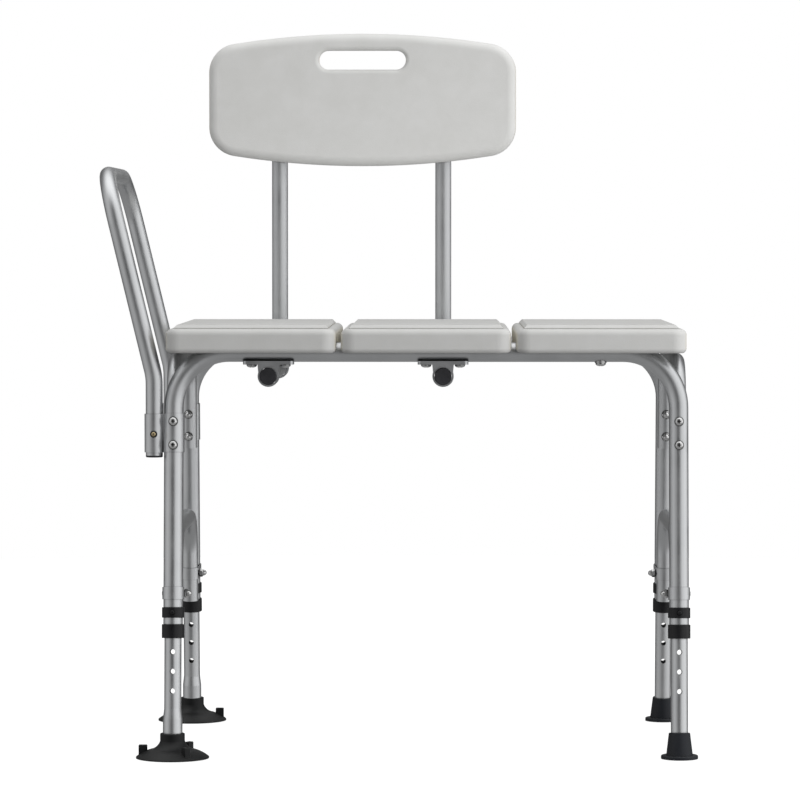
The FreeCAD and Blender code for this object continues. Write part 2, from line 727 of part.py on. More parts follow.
def make_backrest_panel():
    """The moulded backrest, bowed along its top and bottom edges, with a hand hole."""
    middle = sum(POST_CENTRES.values()) / 2 + size("back_shift")
    centre_z = size("back_bottom") + size("back_height") / 2
    back_y = size("back_front_y") + size("back_thickness")
    body = new_body("backrest_panel", Placement(Vector(MIDDLE_X + middle, back_y, centre_z), Rotation()))
    outline = new_sketch(body, "XZ_Plane", "outline")
    half_w, half_h = "Sizes.back_width / 2", "Sizes.back_height / 2"
    add_bowed_outline(outline, half_w, half_h, "Sizes.back_bow")
    pad(body, outline, "Sizes.back_thickness")
    round_edges(body, "corners", "Sizes.back_corner",
                lambda edge: edge.BoundBox.XLength < 0.1 and edge.BoundBox.ZLength < 0.1)
    hole = new_sketch(body, "XZ_Plane", "hand_hole")
    add_stadium(hole, "(Sizes.hand_hole_width - Sizes.hand_hole_height) / 2",
                "Sizes.hand_hole_above_centre", "Sizes.hand_hole_height / 2")
    pocket(body, hole, upward=True)
    thickness = size("back_thickness")
    hole_reach = size("hand_hole_width") / 2 + 1

    def on_face(edge):
        return level(edge, 0, "y") or level(edge, -thickness, "y")

    def round_hole(edge):
        box = edge.BoundBox
        low = size("hand_hole_above_centre") - size("hand_hole_height") / 2 - 1
        high = size("hand_hole_above_centre") + size("hand_hole_height") / 2 + 1
        return max(-box.XMin, box.XMax) < hole_reach and low < box.ZMin and box.ZMax < high

    round_edges(body, "hole_edges", "Sizes.hand_hole_edge", lambda edge: on_face(edge) and round_hole(edge))
    round_edges(body, "edges", "Sizes.back_edge", lambda edge: on_face(edge) and not round_hole(edge))
    for name, post_x in POST_CENTRES.items():
        x = post_x - middle
        bottom = -size("back_height")
        drill(body, f"groove_{name}", "Sizes.inner_od + 2 * Sizes.boss_bore_gap",
              Vector(x, size("post_upright_y") - back_y, bottom), Z_AXIS,
              "Sizes.post_top + 1 - Sizes.back_bottom + Sizes.back_height / 2")
        for level_name, height in back_screw_heights().items():
            drill(body, f"screw_{name}_{level_name}", "Sizes.screw_d + Sizes.boss_bore_gap",
                  Vector(x, 0, height - centre_z), -Y_AXIS, "Sizes.back_thickness - Sizes.back_screw_cover")
    chamber = new_sketch(body, "XZ_Plane", "chamber", "Sizes.back_skin")
    room = "Sizes.panel_pitch / 2 - Sizes.inner_od / 2 - Sizes.back_chamber_wall - Sizes.back_shift"
    low = "-(Sizes.back_height / 2 - Sizes.back_chamber_end)"
    high = "Sizes.hand_hole_above_centre - Sizes.hand_hole_height / 2 - Sizes.back_chamber_end"
    add_polygon(chamber, [(f"-({room})", low), (room, low), (room, high), (f"-({room})", high)])
    pocket(body, chamber, "Sizes.back_thickness - 2 * Sizes.back_skin", upward=True)
    return body


def add_bowed_outline(sketch, half_w, half_h, bow):
    """Two upright sides joined by arcs that rise and fall by the bow."""
    w, h, b = value(half_w), value(half_h), value(bow)
    corners = [Vector(-w, h - b, 0), Vector(w, h - b, 0), Vector(w, b - h, 0), Vector(-w, b - h, 0)]
    radius = (w * w + b * b) / (2 * b)
    spread = math.asin(w / radius)
    upper = Part.Circle(Vector(0, h - radius, 0), Z_AXIS, radius)
    lower = Part.Circle(Vector(0, radius - h, 0), Z_AXIS, radius)
    quarter = math.pi / 2
    top = sketch.addGeometry(Part.ArcOfCircle(upper, quarter - spread, quarter + spread))
    bottom = sketch.addGeometry(Part.ArcOfCircle(lower, 3 * quarter - spread, 3 * quarter + spread))
    left = sketch.addGeometry(Part.LineSegment(corners[0], corners[3]))
    right = sketch.addGeometry(Part.LineSegment(corners[2], corners[1]))
    for first, end, second, start in ((top, 2, left, 1), (left, 2, bottom, 1),
                                      (bottom, 2, right, 1), (right, 2, top, 1)):
        sketch.addConstraint(Sketcher.Constraint("Coincident", first, end, second, start))
    end_height = f"({half_h} - {bow})"
    pin_point(sketch, left, 1, f"-({half_w})", end_height)
    pin_point(sketch, left, 2, f"-({half_w})", f"-{end_height}")
    pin_point(sketch, right, 1, half_w, f"-{end_height}")
    pin_point(sketch, right, 2, half_w, end_height)
    arc_radius = f"(({half_w})^2 + ({bow})^2) / (2 * {bow})"
    bind(sketch, "Radius", top, expression=arc_radius)
    bind(sketch, "Radius", bottom, expression=arc_radius)


def add_stadium(sketch, half_length, height, radius):
    """A slot with round ends that lies level at a height."""
    reach, z, r = value(half_length), value(height), value(radius)
    quarter = math.pi / 2
    right_circle = Part.Circle(Vector(reach, z, 0), Z_AXIS, r)
    left_circle = Part.Circle(Vector(-reach, z, 0), Z_AXIS, r)
    right = sketch.addGeometry(Part.ArcOfCircle(right_circle, -quarter, quarter))
    left = sketch.addGeometry(Part.ArcOfCircle(left_circle, quarter, 3 * quarter))
    top = sketch.addGeometry(Part.LineSegment(Vector(reach, z + r, 0), Vector(-reach, z + r, 0)))
    low = sketch.addGeometry(Part.LineSegment(Vector(-reach, z - r, 0), Vector(reach, z - r, 0)))
    for first, end, second, start in ((right, 2, top, 1), (top, 2, left, 1),
                                      (left, 2, low, 1), (low, 2, right, 1)):
        sketch.addConstraint(Sketcher.Constraint("Tangent", first, end, second, start))
    pin_point(sketch, right, 3, half_length, height)
    pin_point(sketch, left, 3, f"-({half_length})", height)
    bind(sketch, "Radius", right, expression=radius)


# ---------------------------------------------------------------- arm rail

RAIL_Y = abs(leg_point(LEFT, REAR, size("arm_bracket_bottom") + size("arm_bracket_tall") / 2).y)
RAIL_X = MIDDLE_X - size("leg_half_spacing") - size("arm_rail_offset")


def rounded_wire(points, bends):
    """Straight runs in space joined by tangent arcs, with one bend radius for each inner point."""
    edges = []
    start = points[0]
    for before, corner, after, bend in zip(points, points[1:], points[2:], bends):
        back = (before - corner).normalize()
        on = (after - corner).normalize()
        half = back.getAngle(on) / 2
        first = corner + back * (bend / math.tan(half))
        last = corner + on * (bend / math.tan(half))
        crown = corner + (back + on).normalize() * (bend / math.sin(half) - bend)
        edges.append(Part.LineSegment(start, first).toShape())
        edges.append(Part.Arc(first, crown, last).toShape())
        start = last
    edges.append(Part.LineSegment(start, points[-1]).toShape())
    return Part.Wire(edges)


def make_arm_rail():
    """One tube that rises from both sleeves, leans outwards and turns over at the top."""
    bottom, kink, top = size("arm_rail_bottom"), size("arm_rail_kink"), size("arm_rail_top")
    front = [Vector(0, -RAIL_Y, bottom), Vector(0, -RAIL_Y, kink), Vector(-ARM_RAIL_LEAN, -RAIL_Y, top)]
    rear = [Vector(point.x, RAIL_Y, point.z) for point in reversed(front)]
    bends = [size(f"arm_rail_{bend}") for bend in ("kink_bend", "top_bend", "top_bend", "kink_bend")]
    path = rounded_wire(front + rear, bends)
    outer, inner = (
        path.makePipeShell([Part.Wire(Part.makeCircle(radius, front[0], Z_AXIS))], True, False)
        for radius in (size("inner_od") / 2, size("inner_od") / 2 - size("inner_wall"))
    )
    tube = outer.cut(inner)
    for end in (FRONT, REAR):
        start = Vector(0, end * RAIL_Y, size("arm_button_height"))
        tube = tube.cut(Part.makeCylinder(size("sleeve_hole_d") / 2, size("inner_od"), start, Y_AXIS * end))
    rail = doc.addObject("Part::Feature", "arm_rail")
    rail.Label = "arm_rail"
    rail.Shape = tube
    rail.Placement = Placement(Vector(RAIL_X, 0, 0), Rotation())
    return rail


def cylinder(name, radius, height, placement):
    """A Part cylinder whose sizes follow the sheet."""
    solid = doc.addObject("Part::Cylinder", name)
    solid.setExpression("Radius", radius)
    solid.setExpression("Height", height)
    solid.Placement = placement
    return solid


def make_rail_bracket(end):
    """A double sleeve: one round a left leg, and one that the arm rail slides in."""
    name = f"rail_bracket_{END_NAMES[end]}"
    tall, wall = "Sizes.arm_bracket_tall", "Sizes.sleeve_wall"
    middle = size("arm_bracket_bottom") + size("arm_bracket_tall") / 2
    leg = leg_frame(LEFT, end, middle)
    base = Placement(leg.Base, Rotation())
    lean = leg.Rotation
    down = Vector(0, 0, -size("arm_bracket_tall") / 2)
    beside = Vector(-size("arm_rail_offset"), 0, 0)
    on_leg = Placement(lean.multVec(down), lean)
    on_rail = Placement(beside + down, Rotation())
    through_leg = Placement(lean.multVec(down * 2), lean)
    through_rail = Placement(beside + down * 2, Rotation())
    nested = Placement(lean.multVec(down * 2 + Vector(0, value(NEST), 0)), lean)
    waist = doc.addObject("Part::Box", f"{name}_waist")
    waist.setExpression("Length", "Sizes.arm_rail_offset")
    waist.setExpression("Width", "Sizes.inner_od / 2")
    waist.setExpression("Height", tall)
    waist.Placement = Placement(beside + down - Vector(0, size("inner_od") / 4, 0), Rotation())
    body = doc.addObject("Part::MultiFuse", f"{name}_body")
    body.Shapes = [
        cylinder(f"{name}_leg_sleeve", f"Sizes.frame_od / 2 + {wall}", tall, on_leg),
        cylinder(f"{name}_rail_sleeve", f"Sizes.inner_od / 2 + Sizes.slide_gap + {wall}", tall, on_rail),
        waist,
    ]
    tools = [
        cylinder(f"{name}_leg_bore", "Sizes.frame_od / 2", f"2 * {tall}", through_leg),
        cylinder(f"{name}_rail_bore", "Sizes.inner_od / 2 + Sizes.slide_gap", f"2 * {tall}", through_rail),
        cylinder(f"{name}_nest", "Sizes.inner_od / 2 + Sizes.boss_bore_gap", f"2 * {tall}", nested),
    ]
    for bolt in ("upper", "lower"):
        place = leg_frame(LEFT, end, size(f"{bolt}_bolt_height"))
        start = place.multVec(Vector(0, -size("frame_od"), 0)) - base.Base
        across = Rotation(Z_AXIS, place.Rotation.multVec(Y_AXIS))
        tools.append(cylinder(f"{name}_{bolt}_bolt", "(Sizes.bolt_d + Sizes.bolt_clearance) / 2",
                              "2 * Sizes.frame_od", Placement(start, across)))
    button = beside + Vector(0, 0, size("arm_button_height") - middle)
    tools.append(cylinder(f"{name}_button", "Sizes.sleeve_hole_d / 2", "Sizes.inner_od",
                          Placement(button, Rotation(Z_AXIS, Y_AXIS * end))))
    holes = doc.addObject("Part::MultiFuse", f"{name}_holes")
    holes.Shapes = tools
    bracket = doc.addObject("Part::Cut", name)
    bracket.Base = body
    bracket.Tool = holes
    bracket.Label = name
    bracket.Placement = base
    return bracket


# ---------------------------------------------------------------- legs

def make_leg_extension(side, end, name):
    """The inner tube of a leg, with its row of holes; the left ones are swaged wider at the foot."""
    body = new_body(f"leg_extension_{name}", leg_frame(side, end, size("snap_height")))
    outer = "Sizes.inner_od / 2"
    inner = f"{outer} - Sizes.inner_wall"
    top = along_leg("Sizes.snap_height", "Sizes.extension_top")
    foot = f"-{along_leg('Sizes.socket_floor', 'Sizes.snap_height')}"
    if side == LEFT:
        wide = "Sizes.swage_od / 2"
        start = f"-{along_leg('Sizes.swage_top', 'Sizes.snap_height')}"
        full = f"{start} - Sizes.swage_length"
        corners = [(inner, top), (outer, top), (outer, start), (wide, full), (wide, foot),
                   (f"{wide} - Sizes.inner_wall", foot), (f"{wide} - Sizes.inner_wall", full),
                   (inner, start)]
    else:
        corners = [(inner, top), (outer, top), (outer, foot), (inner, foot)]
    wall = new_sketch(body, "XZ_Plane", "wall")
    add_polygon(wall, corners)
    revolve(body, wall)
    lowest = -size("holes_below") * size("hole_pitch")
    hole = drill(body, "hole", "Sizes.leg_hole_d", Vector(0, -size("inner_od"), lowest), Y_AXIS,
                 "2 * Sizes.inner_od")
    row = body.newObject("PartDesign::LinearPattern", f"{body.Name}_holes")
    row.Originals = [hole]
    row.Direction = (origin_feature(body, "Z_Axis"), [""])
    row.setExpression("Occurrences", "Sizes.holes_below + Sizes.holes_above + 1")
    row.setExpression("Length", "(Sizes.holes_below + Sizes.holes_above) * Sizes.hole_pitch")
    one_hole = body.Shape.Volume
    body.Tip = row
    doc.recompute()
    if body.Shape.Volume > one_hole - 1:
        raise RuntimeError(f"{body.Name}: the row of holes is missing")
    return body


def make_snap_ring(side, end, name):
    """The open plastic ring that guides a leg's push button."""
    body = new_body(f"snap_ring_{name}", leg_frame(side, end, size("snap_height")))
    sketch = new_sketch(body, "XY_Plane", "ring")
    add_circle(sketch, "Sizes.ring_od / 2")
    add_circle(sketch, "Sizes.frame_od / 2")
    pad(body, sketch, "Sizes.ring_tall", symmetric=True)
    reach = size("ring_od") / 2 - 0.1
    round_edges(body, "rims", "Sizes.ring_edge",
                lambda edge: edge.BoundBox.XMax > reach and edge.BoundBox.ZLength < 0.1)
    drill(body, "button", "Sizes.button_hole_d", Vector(0, 0, 0), -Y_AXIS, "Sizes.ring_od")
    # the ring is open towards the arch brace, whose end passes it
    drill(body, "mouth", "Sizes.ring_mouth_d", Vector(0, value(NEST), -size("ring_tall")), Z_AXIS,
          "2 * Sizes.ring_tall")
    return body


def make_leg_collar(side, end, name):
    """The plastic collar on the end of an outer tube, with a lip that guides the inner tube."""
    body = new_body(f"leg_collar_{name}", leg_frame(side, end, size("collar_bottom")))
    lip = along_leg("Sizes.collar_bottom", "Sizes.frame_leg_end")
    guide = "Sizes.inner_od / 2 + Sizes.slide_gap"
    sketch = new_sketch(body, "XZ_Plane", "wall")
    add_polygon(sketch, [
        (guide, "0"), ("Sizes.collar_od / 2", "0"), ("Sizes.collar_od / 2", "Sizes.collar_tall"),
        ("Sizes.frame_od / 2", "Sizes.collar_tall"), ("Sizes.frame_od / 2", lip), (guide, lip),
    ])
    revolve(body, sketch)
    reach = size("collar_od") / 2 - 0.1
    round_edges(body, "rims", "Sizes.ring_edge",
                lambda edge: edge.BoundBox.XMax > reach and edge.BoundBox.ZLength < 0.1)
    return body


def make_button(name, placement, inside, proud):
    """A round push button with a domed end that points along its own +Z."""
    body = new_body(name, placement)
    sketch = new_sketch(body, "XZ_Plane", "side")
    radius = "Sizes.button_d / 2"
    add_polygon(sketch, [("0", inside), (radius, inside), (radius, proud), ("0", proud)])
    revolve(body, sketch)
    top = value(proud)
    round_edges(body, "dome", "Sizes.button_d / 2 - 1.2", lambda edge: level(edge, top))
    return body


def make_snap_button(side, end, name):
    """The button that locks a leg extension; its tip ends flush with the outer tube's bore."""
    place = leg_frame(side, end, size("snap_height"))
    outward = Placement(place.Base, place.Rotation.multiply(Rotation(Z_AXIS, -Y_AXIS)))
    return make_button(f"snap_button_{name}", outward, "Sizes.frame_od / 2 - Sizes.frame_wall",
                       "Sizes.ring_od / 2 + Sizes.button_proud")


def make_rail_button(end):
    """The button that locks the arm rail in its sleeve."""
    base = Vector(RAIL_X, end * RAIL_Y, size("arm_button_height"))
    outward = Placement(base, Rotation(Z_AXIS, Y_AXIS * end))
    skin = "Sizes.inner_od / 2 + Sizes.slide_gap"
    return make_button(f"rail_button_{END_NAMES[end]}", outward, skin,
                       f"{skin} + Sizes.sleeve_wall + Sizes.button_proud")


def make_snap_spring(side, end, name):
    """The folded steel strip inside a leg extension, behind the button."""
    body = new_body(f"snap_spring_{name}", leg_frame(side, end, size("snap_height")))
    sketch = new_sketch(body, "YZ_Plane", "strip")
    reach = "(Sizes.inner_od / 2 - Sizes.inner_wall - 1.2)"
    thin = "Sizes.spring_thickness"
    fold, rise = "Sizes.spring_thickness * 2", "Sizes.spring_height"
    knee, foot = "Sizes.button_d", "-Sizes.button_d"
    add_polygon(sketch, [
        (f"-{reach}", foot), (f"-{reach}", knee), (f"-{fold}", rise), (fold, rise), (reach, knee),
        (reach, foot), (f"{reach} - {thin}", foot), (f"{reach} - {thin}", knee),
        (thin, f"{rise} - {thin}"), (f"-{thin}", f"{rise} - {thin}"), (f"{thin} - {reach}", knee),
        (f"{thin} - {reach}", foot),
    ])
    pad(body, sketch, "Sizes.spring_width", symmetric=True)
    return body


def add_arc(sketch, start, end, radius, left):
    """An arc between two points, with its centre to the left or right of the way from one to other."""
    a, b = (Vector(value(x), value(y), 0) for x, y in (start, end))
    bend = value(radius)
    along = (b - a).normalize()
    across = Vector(-along.y, along.x, 0) * (1 if left else -1)
    centre = (a + b) * 0.5 + across * math.sqrt(bend ** 2 - ((b - a).Length / 2) ** 2)
    first, last = (a, b) if left else (b, a)
    low = math.atan2(first.y - centre.y, first.x - centre.x)
    high = math.atan2(last.y - centre.y, last.x - centre.x)
    if high < low:
        high += 2 * math.pi
    arc = sketch.addGeometry(Part.ArcOfCircle(Part.Circle(centre, Z_AXIS, bend), low, high))
    bind(sketch, "Radius", arc, expression=radius)
    pin_point(sketch, arc, 1 if left else 2, *start)
    pin_point(sketch, arc, 2 if left else 1, *end)


def add_open_lines(sketch, corners):
    """Straight lines from corner to corner, each end tied to the sheet."""
    points = [Vector(value(x), value(y), 0) for x, y in corners]
    for (a, b), (first, last) in zip(zip(points, points[1:]), zip(corners, corners[1:])):
        line = sketch.addGeometry(Part.LineSegment(a, b))
        pin_point(sketch, line, 1, *first)
        pin_point(sketch, line, 2, *last)


def socket(body, end, diameter):
    """The blind hole in a foot that takes a leg extension, along the leg."""
    up_leg = Rotation(X_AXIS, end * SPLAY).multVec(Z_AXIS)
    drill(body, "socket", diameter, up_leg * (size("socket_floor") / SPLAY_COS), up_leg, "Sizes.cup_d")


def make_suction_foot(end):
    """A rubber suction cup with a neck for the leg and three stubs to pull its rim free."""
    name = f"{END_NAMES[end]}_left"
    body = new_body(f"suction_foot_{name}", Placement(leg_point(LEFT, end, 0), Rotation()))
    sketch = new_sketch(body, "XZ_Plane", "side")
    rim, neck = "Sizes.cup_d / 2", "Sizes.cup_neck_d / 2"
    brow = ("Sizes.cup_brow_d / 2", "Sizes.cup_brow")
    add_arc(sketch, (rim, "Sizes.cup_rim"), brow, "Sizes.cup_d / 2", left=True)
    add_arc(sketch, brow, (neck, "Sizes.cup_neck_foot"), "Sizes.cup_flare", left=False)
    add_open_lines(sketch, [
        (neck, "Sizes.cup_neck_foot"), (neck, "Sizes.cup_neck_top"), ("0", "Sizes.cup_neck_top"),
        ("0", "Sizes.cup_hollow"), (f"{rim} - Sizes.cup_lip", "0"), (rim, "0"), (rim, "Sizes.cup_rim"),
    ])
    revolve(body, sketch)
    top = size("cup_neck_top")
    round_edges(body, "neck_edge", "Sizes.cup_edge", lambda edge: level(edge, top))
    stub = new_sketch(body, "XY_Plane", "stub", "Sizes.cup_rim / 2")
    outer_x = "Sizes.cup_d / 2 - Sizes.tab_inset"
    inner_x = f"{outer_x} - Sizes.tab_width"
    half = "Sizes.tab_thickness / 2"
    add_polygon(stub, [
        (f"-({outer_x})", f"-{half}"), (f"-({inner_x})", f"-{half}"),
        (f"-({inner_x})", half), (f"-({outer_x})", half),
    ])
    stub_pad = pad(body, stub, "Sizes.tab_height - Sizes.cup_rim / 2")
    ring = body.newObject("PartDesign::PolarPattern", f"{body.Name}_stubs")
    ring.Originals = [stub_pad]
    ring.Axis = (origin_feature(body, "Z_Axis"), [""])
    ring.Angle = 360
    ring.Occurrences = 3
    one_stub = body.Shape.Volume
    body.Tip = ring
    doc.recompute()
    if body.Shape.Volume < one_stub + 1:
        raise RuntimeError("the pull stubs are missing")
    tab_top = size("tab_height")
    round_edges(body, "stub_edges", "Sizes.cup_edge", lambda edge: level(edge, tab_top))
    # both cups are made as the front one, and the rear one is turned round afterwards
    socket(body, FRONT, "Sizes.swage_od")
    if end == REAR:
        body.Placement = Placement(body.Placement.Base, Rotation(Z_AXIS, 180))
    return body


def make_rubber_tip(end):
    """A rubber tip: a sleeve that leans with the leg, on a flange that lies flat on the floor."""
    name = f"{END_NAMES[end]}_right"
    body = new_body(f"rubber_tip_{name}", Placement(leg_point(RIGHT, end, 0), Rotation()))
    flange = new_sketch(body, "XY_Plane", "flange")
    add_circle(flange, "Sizes.tip_flange_d / 2")
    pad(body, flange, "Sizes.tip_flange")
    rim = size("tip_flange")
    round_edges(body, "flange_edge", "Sizes.tip_flange_edge", lambda edge: level(edge, rim))
    up_leg = Rotation(X_AXIS, end * SPLAY).multVec(Z_AXIS)
    sleeve = body.newObject("PartDesign::AdditiveCone", f"{body.Name}_sleeve")
    sleeve.setExpression("Radius1", "Sizes.tip_base_d / 2")
    sleeve.setExpression("Radius2", "Sizes.tip_top_d / 2")
    sleeve.setExpression("Height", "(Sizes.tip_top - Sizes.tip_flange / 2) / cos(Sizes.splay)")
    sleeve.Placement = Placement(up_leg * (rim / 2 / SPLAY_COS), Rotation(Z_AXIS, up_leg))
    doc.recompute()
    mouth = size("tip_top") - 4
    round_edges(body, "mouth_edge", "Sizes.ring_edge", lambda edge: edge.BoundBox.ZMin > mouth)
    socket(body, end, "Sizes.inner_od")
    return body


# ---------------------------------------------------------------- fasteners and plugs

# shares of a screw head's rise and width that its upright edge and its cross recess take
HEAD_EDGE_SHARE = 0.3
RECESS_DEPTH = 0.6
RECESS_WIDTH = 0.13
RECESS_SPAN = 0.5
# shares of a cap nut's rise and width that its hexagon and its dome take
HEXAGON_SHARE = 0.5
DOME_SHARE = 0.42
# chamfers and spare lengths of the small pieces
SHANK_LEAD = 0.6
NUT_CHAMFER = 1
NUT_EDGE = 0.3
NUT_CROWN = 2
BORE_GAP = 0.1
PLUG_LEAD = 1.5
PLUG_TAPER = 0.8
PLUG_EDGE = 0.9
SADDLE_DEPTH = 2.5
SADDLE_SPARE = 2


def turned(outline):
    """A solid of revolution about Z of an outline of (radius, height) points."""
    points = [Vector(radius, 0, height) for radius, height in outline]
    face = Part.Face(Part.makePolygon(points + points[:1]))
    return face.revolve(Vector(0, 0, 0), Z_AXIS, 360)


def dome(radius, low, rise, steps=6):
    """Points of a quarter ellipse from a rim at height low up to the axis."""
    angles = [math.pi / 2 * step / steps for step in range(steps)]
    return [(radius * math.cos(angle), low + rise * math.sin(angle)) for angle in angles] + [(0, low + rise)]


def cross_head_screw(shank_d, shank_length, head_d, head_rise):
    """A pan-head screw with a cross recess, its seat at Z = 0 and its head above."""
    shank, head, edge = shank_d / 2, head_d / 2, head_rise * HEAD_EDGE_SHARE
    outline = [
        (0, -shank_length),
        (shank - SHANK_LEAD, -shank_length),
        (shank, SHANK_LEAD - shank_length),
        (shank, 0),
        (head, 0),
    ]
    screw = turned(outline + dome(head, edge, head_rise - edge))
    depth, width, span = head_rise * RECESS_DEPTH, head_d * RECESS_WIDTH, head_d * RECESS_SPAN
    for size_x, size_y in ((span, width), (width, span)):
        corner = Vector(-size_x / 2, -size_y / 2, head_rise - depth)
        screw = screw.cut(Part.makeBox(size_x, size_y, head_rise, corner))
    return screw


def cap_nut(across, rise, bore_d):
    """A domed hexagon nut that sits on Z = 0, with a blind hole from below."""
    tall = rise * HEXAGON_SHARE
    reach = across / 2 / math.cos(math.pi / 6)
    corners = [
        Vector(reach * math.cos(math.pi / 3 * i), reach * math.sin(math.pi / 3 * i), 0) for i in range(7)
    ]
    hexagon = Part.Face(Part.makePolygon(corners)).extrude(Vector(0, 0, tall))
    chamfer = turned([
        (0, 0),
        (across / 2 - NUT_EDGE, 0),
        (reach, NUT_CHAMFER),
        (reach, tall - NUT_CHAMFER),
        (across / 2 - NUT_EDGE, tall),
        (0, tall),
    ])
    cap_radius = across * DOME_SHARE
    cap = turned([(0, 0), (cap_radius, 0)] + dome(cap_radius, tall, rise - tall))
    bore = Part.makeCylinder(bore_d / 2, rise - NUT_CROWN, Vector(0, 0, 0))
    return hexagon.common(chamfer).fuse(cap).cut(bore)


def saddle_washer(surface_radius, diameter, bore_d):
    """A washer that follows a tube lying along Y below it; its flat top is at Z = its thickness."""
    height = size("saddle_washer") + SADDLE_DEPTH
    low = Vector(0, 0, -SADDLE_DEPTH)
    blank = Part.makeCylinder(diameter / 2, height, low)
    tube = Part.makeCylinder(surface_radius, 2 * diameter, Vector(0, -diameter, -surface_radius), Y_AXIS)
    return blank.cut(tube).cut(Part.makeCylinder(bore_d / 2, height, low))


def group(name, solids):
    """One node that holds identical small pieces as separate solids."""
    node = doc.addObject("Part::Feature", name)
    node.Label = name
    node.Shape = Part.makeCompound(solids)
    return node


def placed(shape, placement):
    """A copy of a shape at a placement."""
    copy = shape.copy()
    copy.Placement = placement
    return copy


def facing(place, start, direction):
    """A placement at a point of a frame whose own +Z points along a direction of that frame."""
    base = place.multVec(start)
    # the saddle washers' Y follows the leg
    turn = Rotation(X_AXIS, 90 if direction.y < 0 else -90)
    return Placement(base, place.Rotation.multiply(turn))


def make_frame_fasteners():
    """Bolts through the legs and side tubes and their domed nuts; returns the washers under both."""
    bolts, nuts, washers = [], [], []
    thickness, bolt_d = size("saddle_washer"), size("bolt_d")
    nest, tube = value(NEST), size("inner_od") / 2
    hole_d = bolt_d + size("bolt_clearance")
    far = nest + tube + thickness
    for side, end, _ in leg_corners():
        surface = size("frame_od") / 2 + (size("sleeve_wall") if side == LEFT else 0)
        seat = surface + thickness
        shank = seat + far + size("frame_bolt_spare")
        screw = cross_head_screw(bolt_d, shank, size("bolt_head_d"), size("bolt_head_rise"))
        nut = cap_nut(size("nut_d"), size("nut_rise"), bolt_d + BORE_GAP)
        washer_d = size("bolt_head_d") + SADDLE_SPARE
        outer = saddle_washer(surface, washer_d, hole_d)
        inner = saddle_washer(tube, washer_d, hole_d)
        for bolt in ("upper", "lower"):
            place = leg_frame(side, end, size(f"{bolt}_bolt_height"))
            bolts.append(placed(screw, facing(place, Vector(0, -seat, 0), -Y_AXIS)))
            nuts.append(placed(nut, facing(place, Vector(0, far, 0), Y_AXIS)))
            washers.append(placed(outer, facing(place, Vector(0, -surface, 0), -Y_AXIS)))
            washers.append(placed(inner, facing(place, Vector(0, nest + tube, 0), Y_AXIS)))
    group("frame_bolts", bolts)
    group("frame_nuts", nuts)
    return washers


def make_brace_fasteners():
    """The bolts across the clamp bands and their cap nuts on the inner side."""
    bolts, nuts = [], []
    bolt_d = size("bolt_d")
    # the band's side slants, so a head rests on the edge that is nearer the leg
    slant = math.asin((size("frame_od") - size("inner_od")) / 2 / value(NEST))
    band = (size("inner_od") / 2 + size("clamp_wall")) / math.cos(slant)
    seat = band + size("bolt_head_d") / 2 * math.tan(slant)
    shank = 2 * seat + size("clamp_bolt_spare")
    screw = cross_head_screw(bolt_d, shank, size("bolt_head_d"), size("bolt_head_rise"))
    nut = cap_nut(size("nut_d"), size("clamp_nut_rise"), bolt_d + BORE_GAP)
    for side, end, _ in leg_corners():
        centre = leg_frame(side, end, size("clamp_height")).multVec(Vector(0, value(NEST), 0))
        outward = X_AXIS * side
        bolts.append(placed(screw, Placement(centre + outward * seat, Rotation(Z_AXIS, outward))))
        nuts.append(placed(nut, Placement(centre - outward * seat, Rotation(Z_AXIS, -outward))))
    group("brace_bolts", bolts)
    group("brace_cap_nuts", nuts)


def make_seat_screws():
    """Screws up through the rails into the seat panels, some through a bracket; returns the washers."""
    bracket_screws, seat_screws, washers = [], [], []
    rail_low = size("rail_height") - size("frame_od") / 2
    tip = size("rail_height") + size("frame_od") / 2 + size("screw_bite")
    plate_low = rail_low - size("bracket_plate")
    head_d, rise = size("screw_head_d"), size("screw_head_rise")
    long_screw = cross_head_screw(size("screw_d"), tip - plate_low, head_d, rise)
    washer_low = rail_low - size("saddle_washer")
    short_screw = cross_head_screw(size("screw_d"), tip - washer_low, head_d, rise)
    hole_d = size("screw_d") + size("bolt_clearance")
    washer = saddle_washer(size("frame_od") / 2, head_d + SADDLE_SPARE, hole_d)
    turn_over = Rotation(X_AXIS, 180)
    across = turn_over.multiply(Rotation(Z_AXIS, 90))
    for end in (FRONT, REAR):
        y = end * size("rail_half_spacing")
        for centre in POST_CENTRES.values():
            for sign in (-1, 1):
                x = MIDDLE_X + centre + sign * size("bracket_hole_offset")
                bracket_screws.append(placed(long_screw, Placement(Vector(x, y, plate_low), turn_over)))
        x = MIDDLE_X + PANEL_CENTRES["right"]
        seat_screws.append(placed(short_screw, Placement(Vector(x, y, washer_low), turn_over)))
        washers.append(placed(washer, Placement(Vector(x, y, rail_low), across)))
    group("bracket_screws", bracket_screws)
    group("seat_screws", seat_screws)
    return washers


def make_backrest_screws():
    """Screws from behind, through the posts into the backrest."""
    surface = size("post_upright_y") + size("inner_od") / 2
    seat = surface + size("saddle_washer")
    reach = seat - size("back_front_y") - size("back_screw_cover") - SADDLE_SPARE
    hole_d = size("screw_d") + size("bolt_clearance")
    screw = cross_head_screw(size("screw_d"), reach, size("bolt_head_d"), size("bolt_head_rise"))
    washer = saddle_washer(size("inner_od") / 2, size("bolt_head_d") + SADDLE_SPARE, hole_d)
    screws, washers = [], []
    backward = Rotation(X_AXIS, -90)
    for centre in POST_CENTRES.values():
        for height in back_screw_heights().values():
            x = MIDDLE_X + centre
            screws.append(placed(screw, Placement(Vector(x, seat, height), backward)))
            washers.append(placed(washer, Placement(Vector(x, surface, height), backward)))
    group("backrest_screws", screws)
    group("backrest_washers", washers)


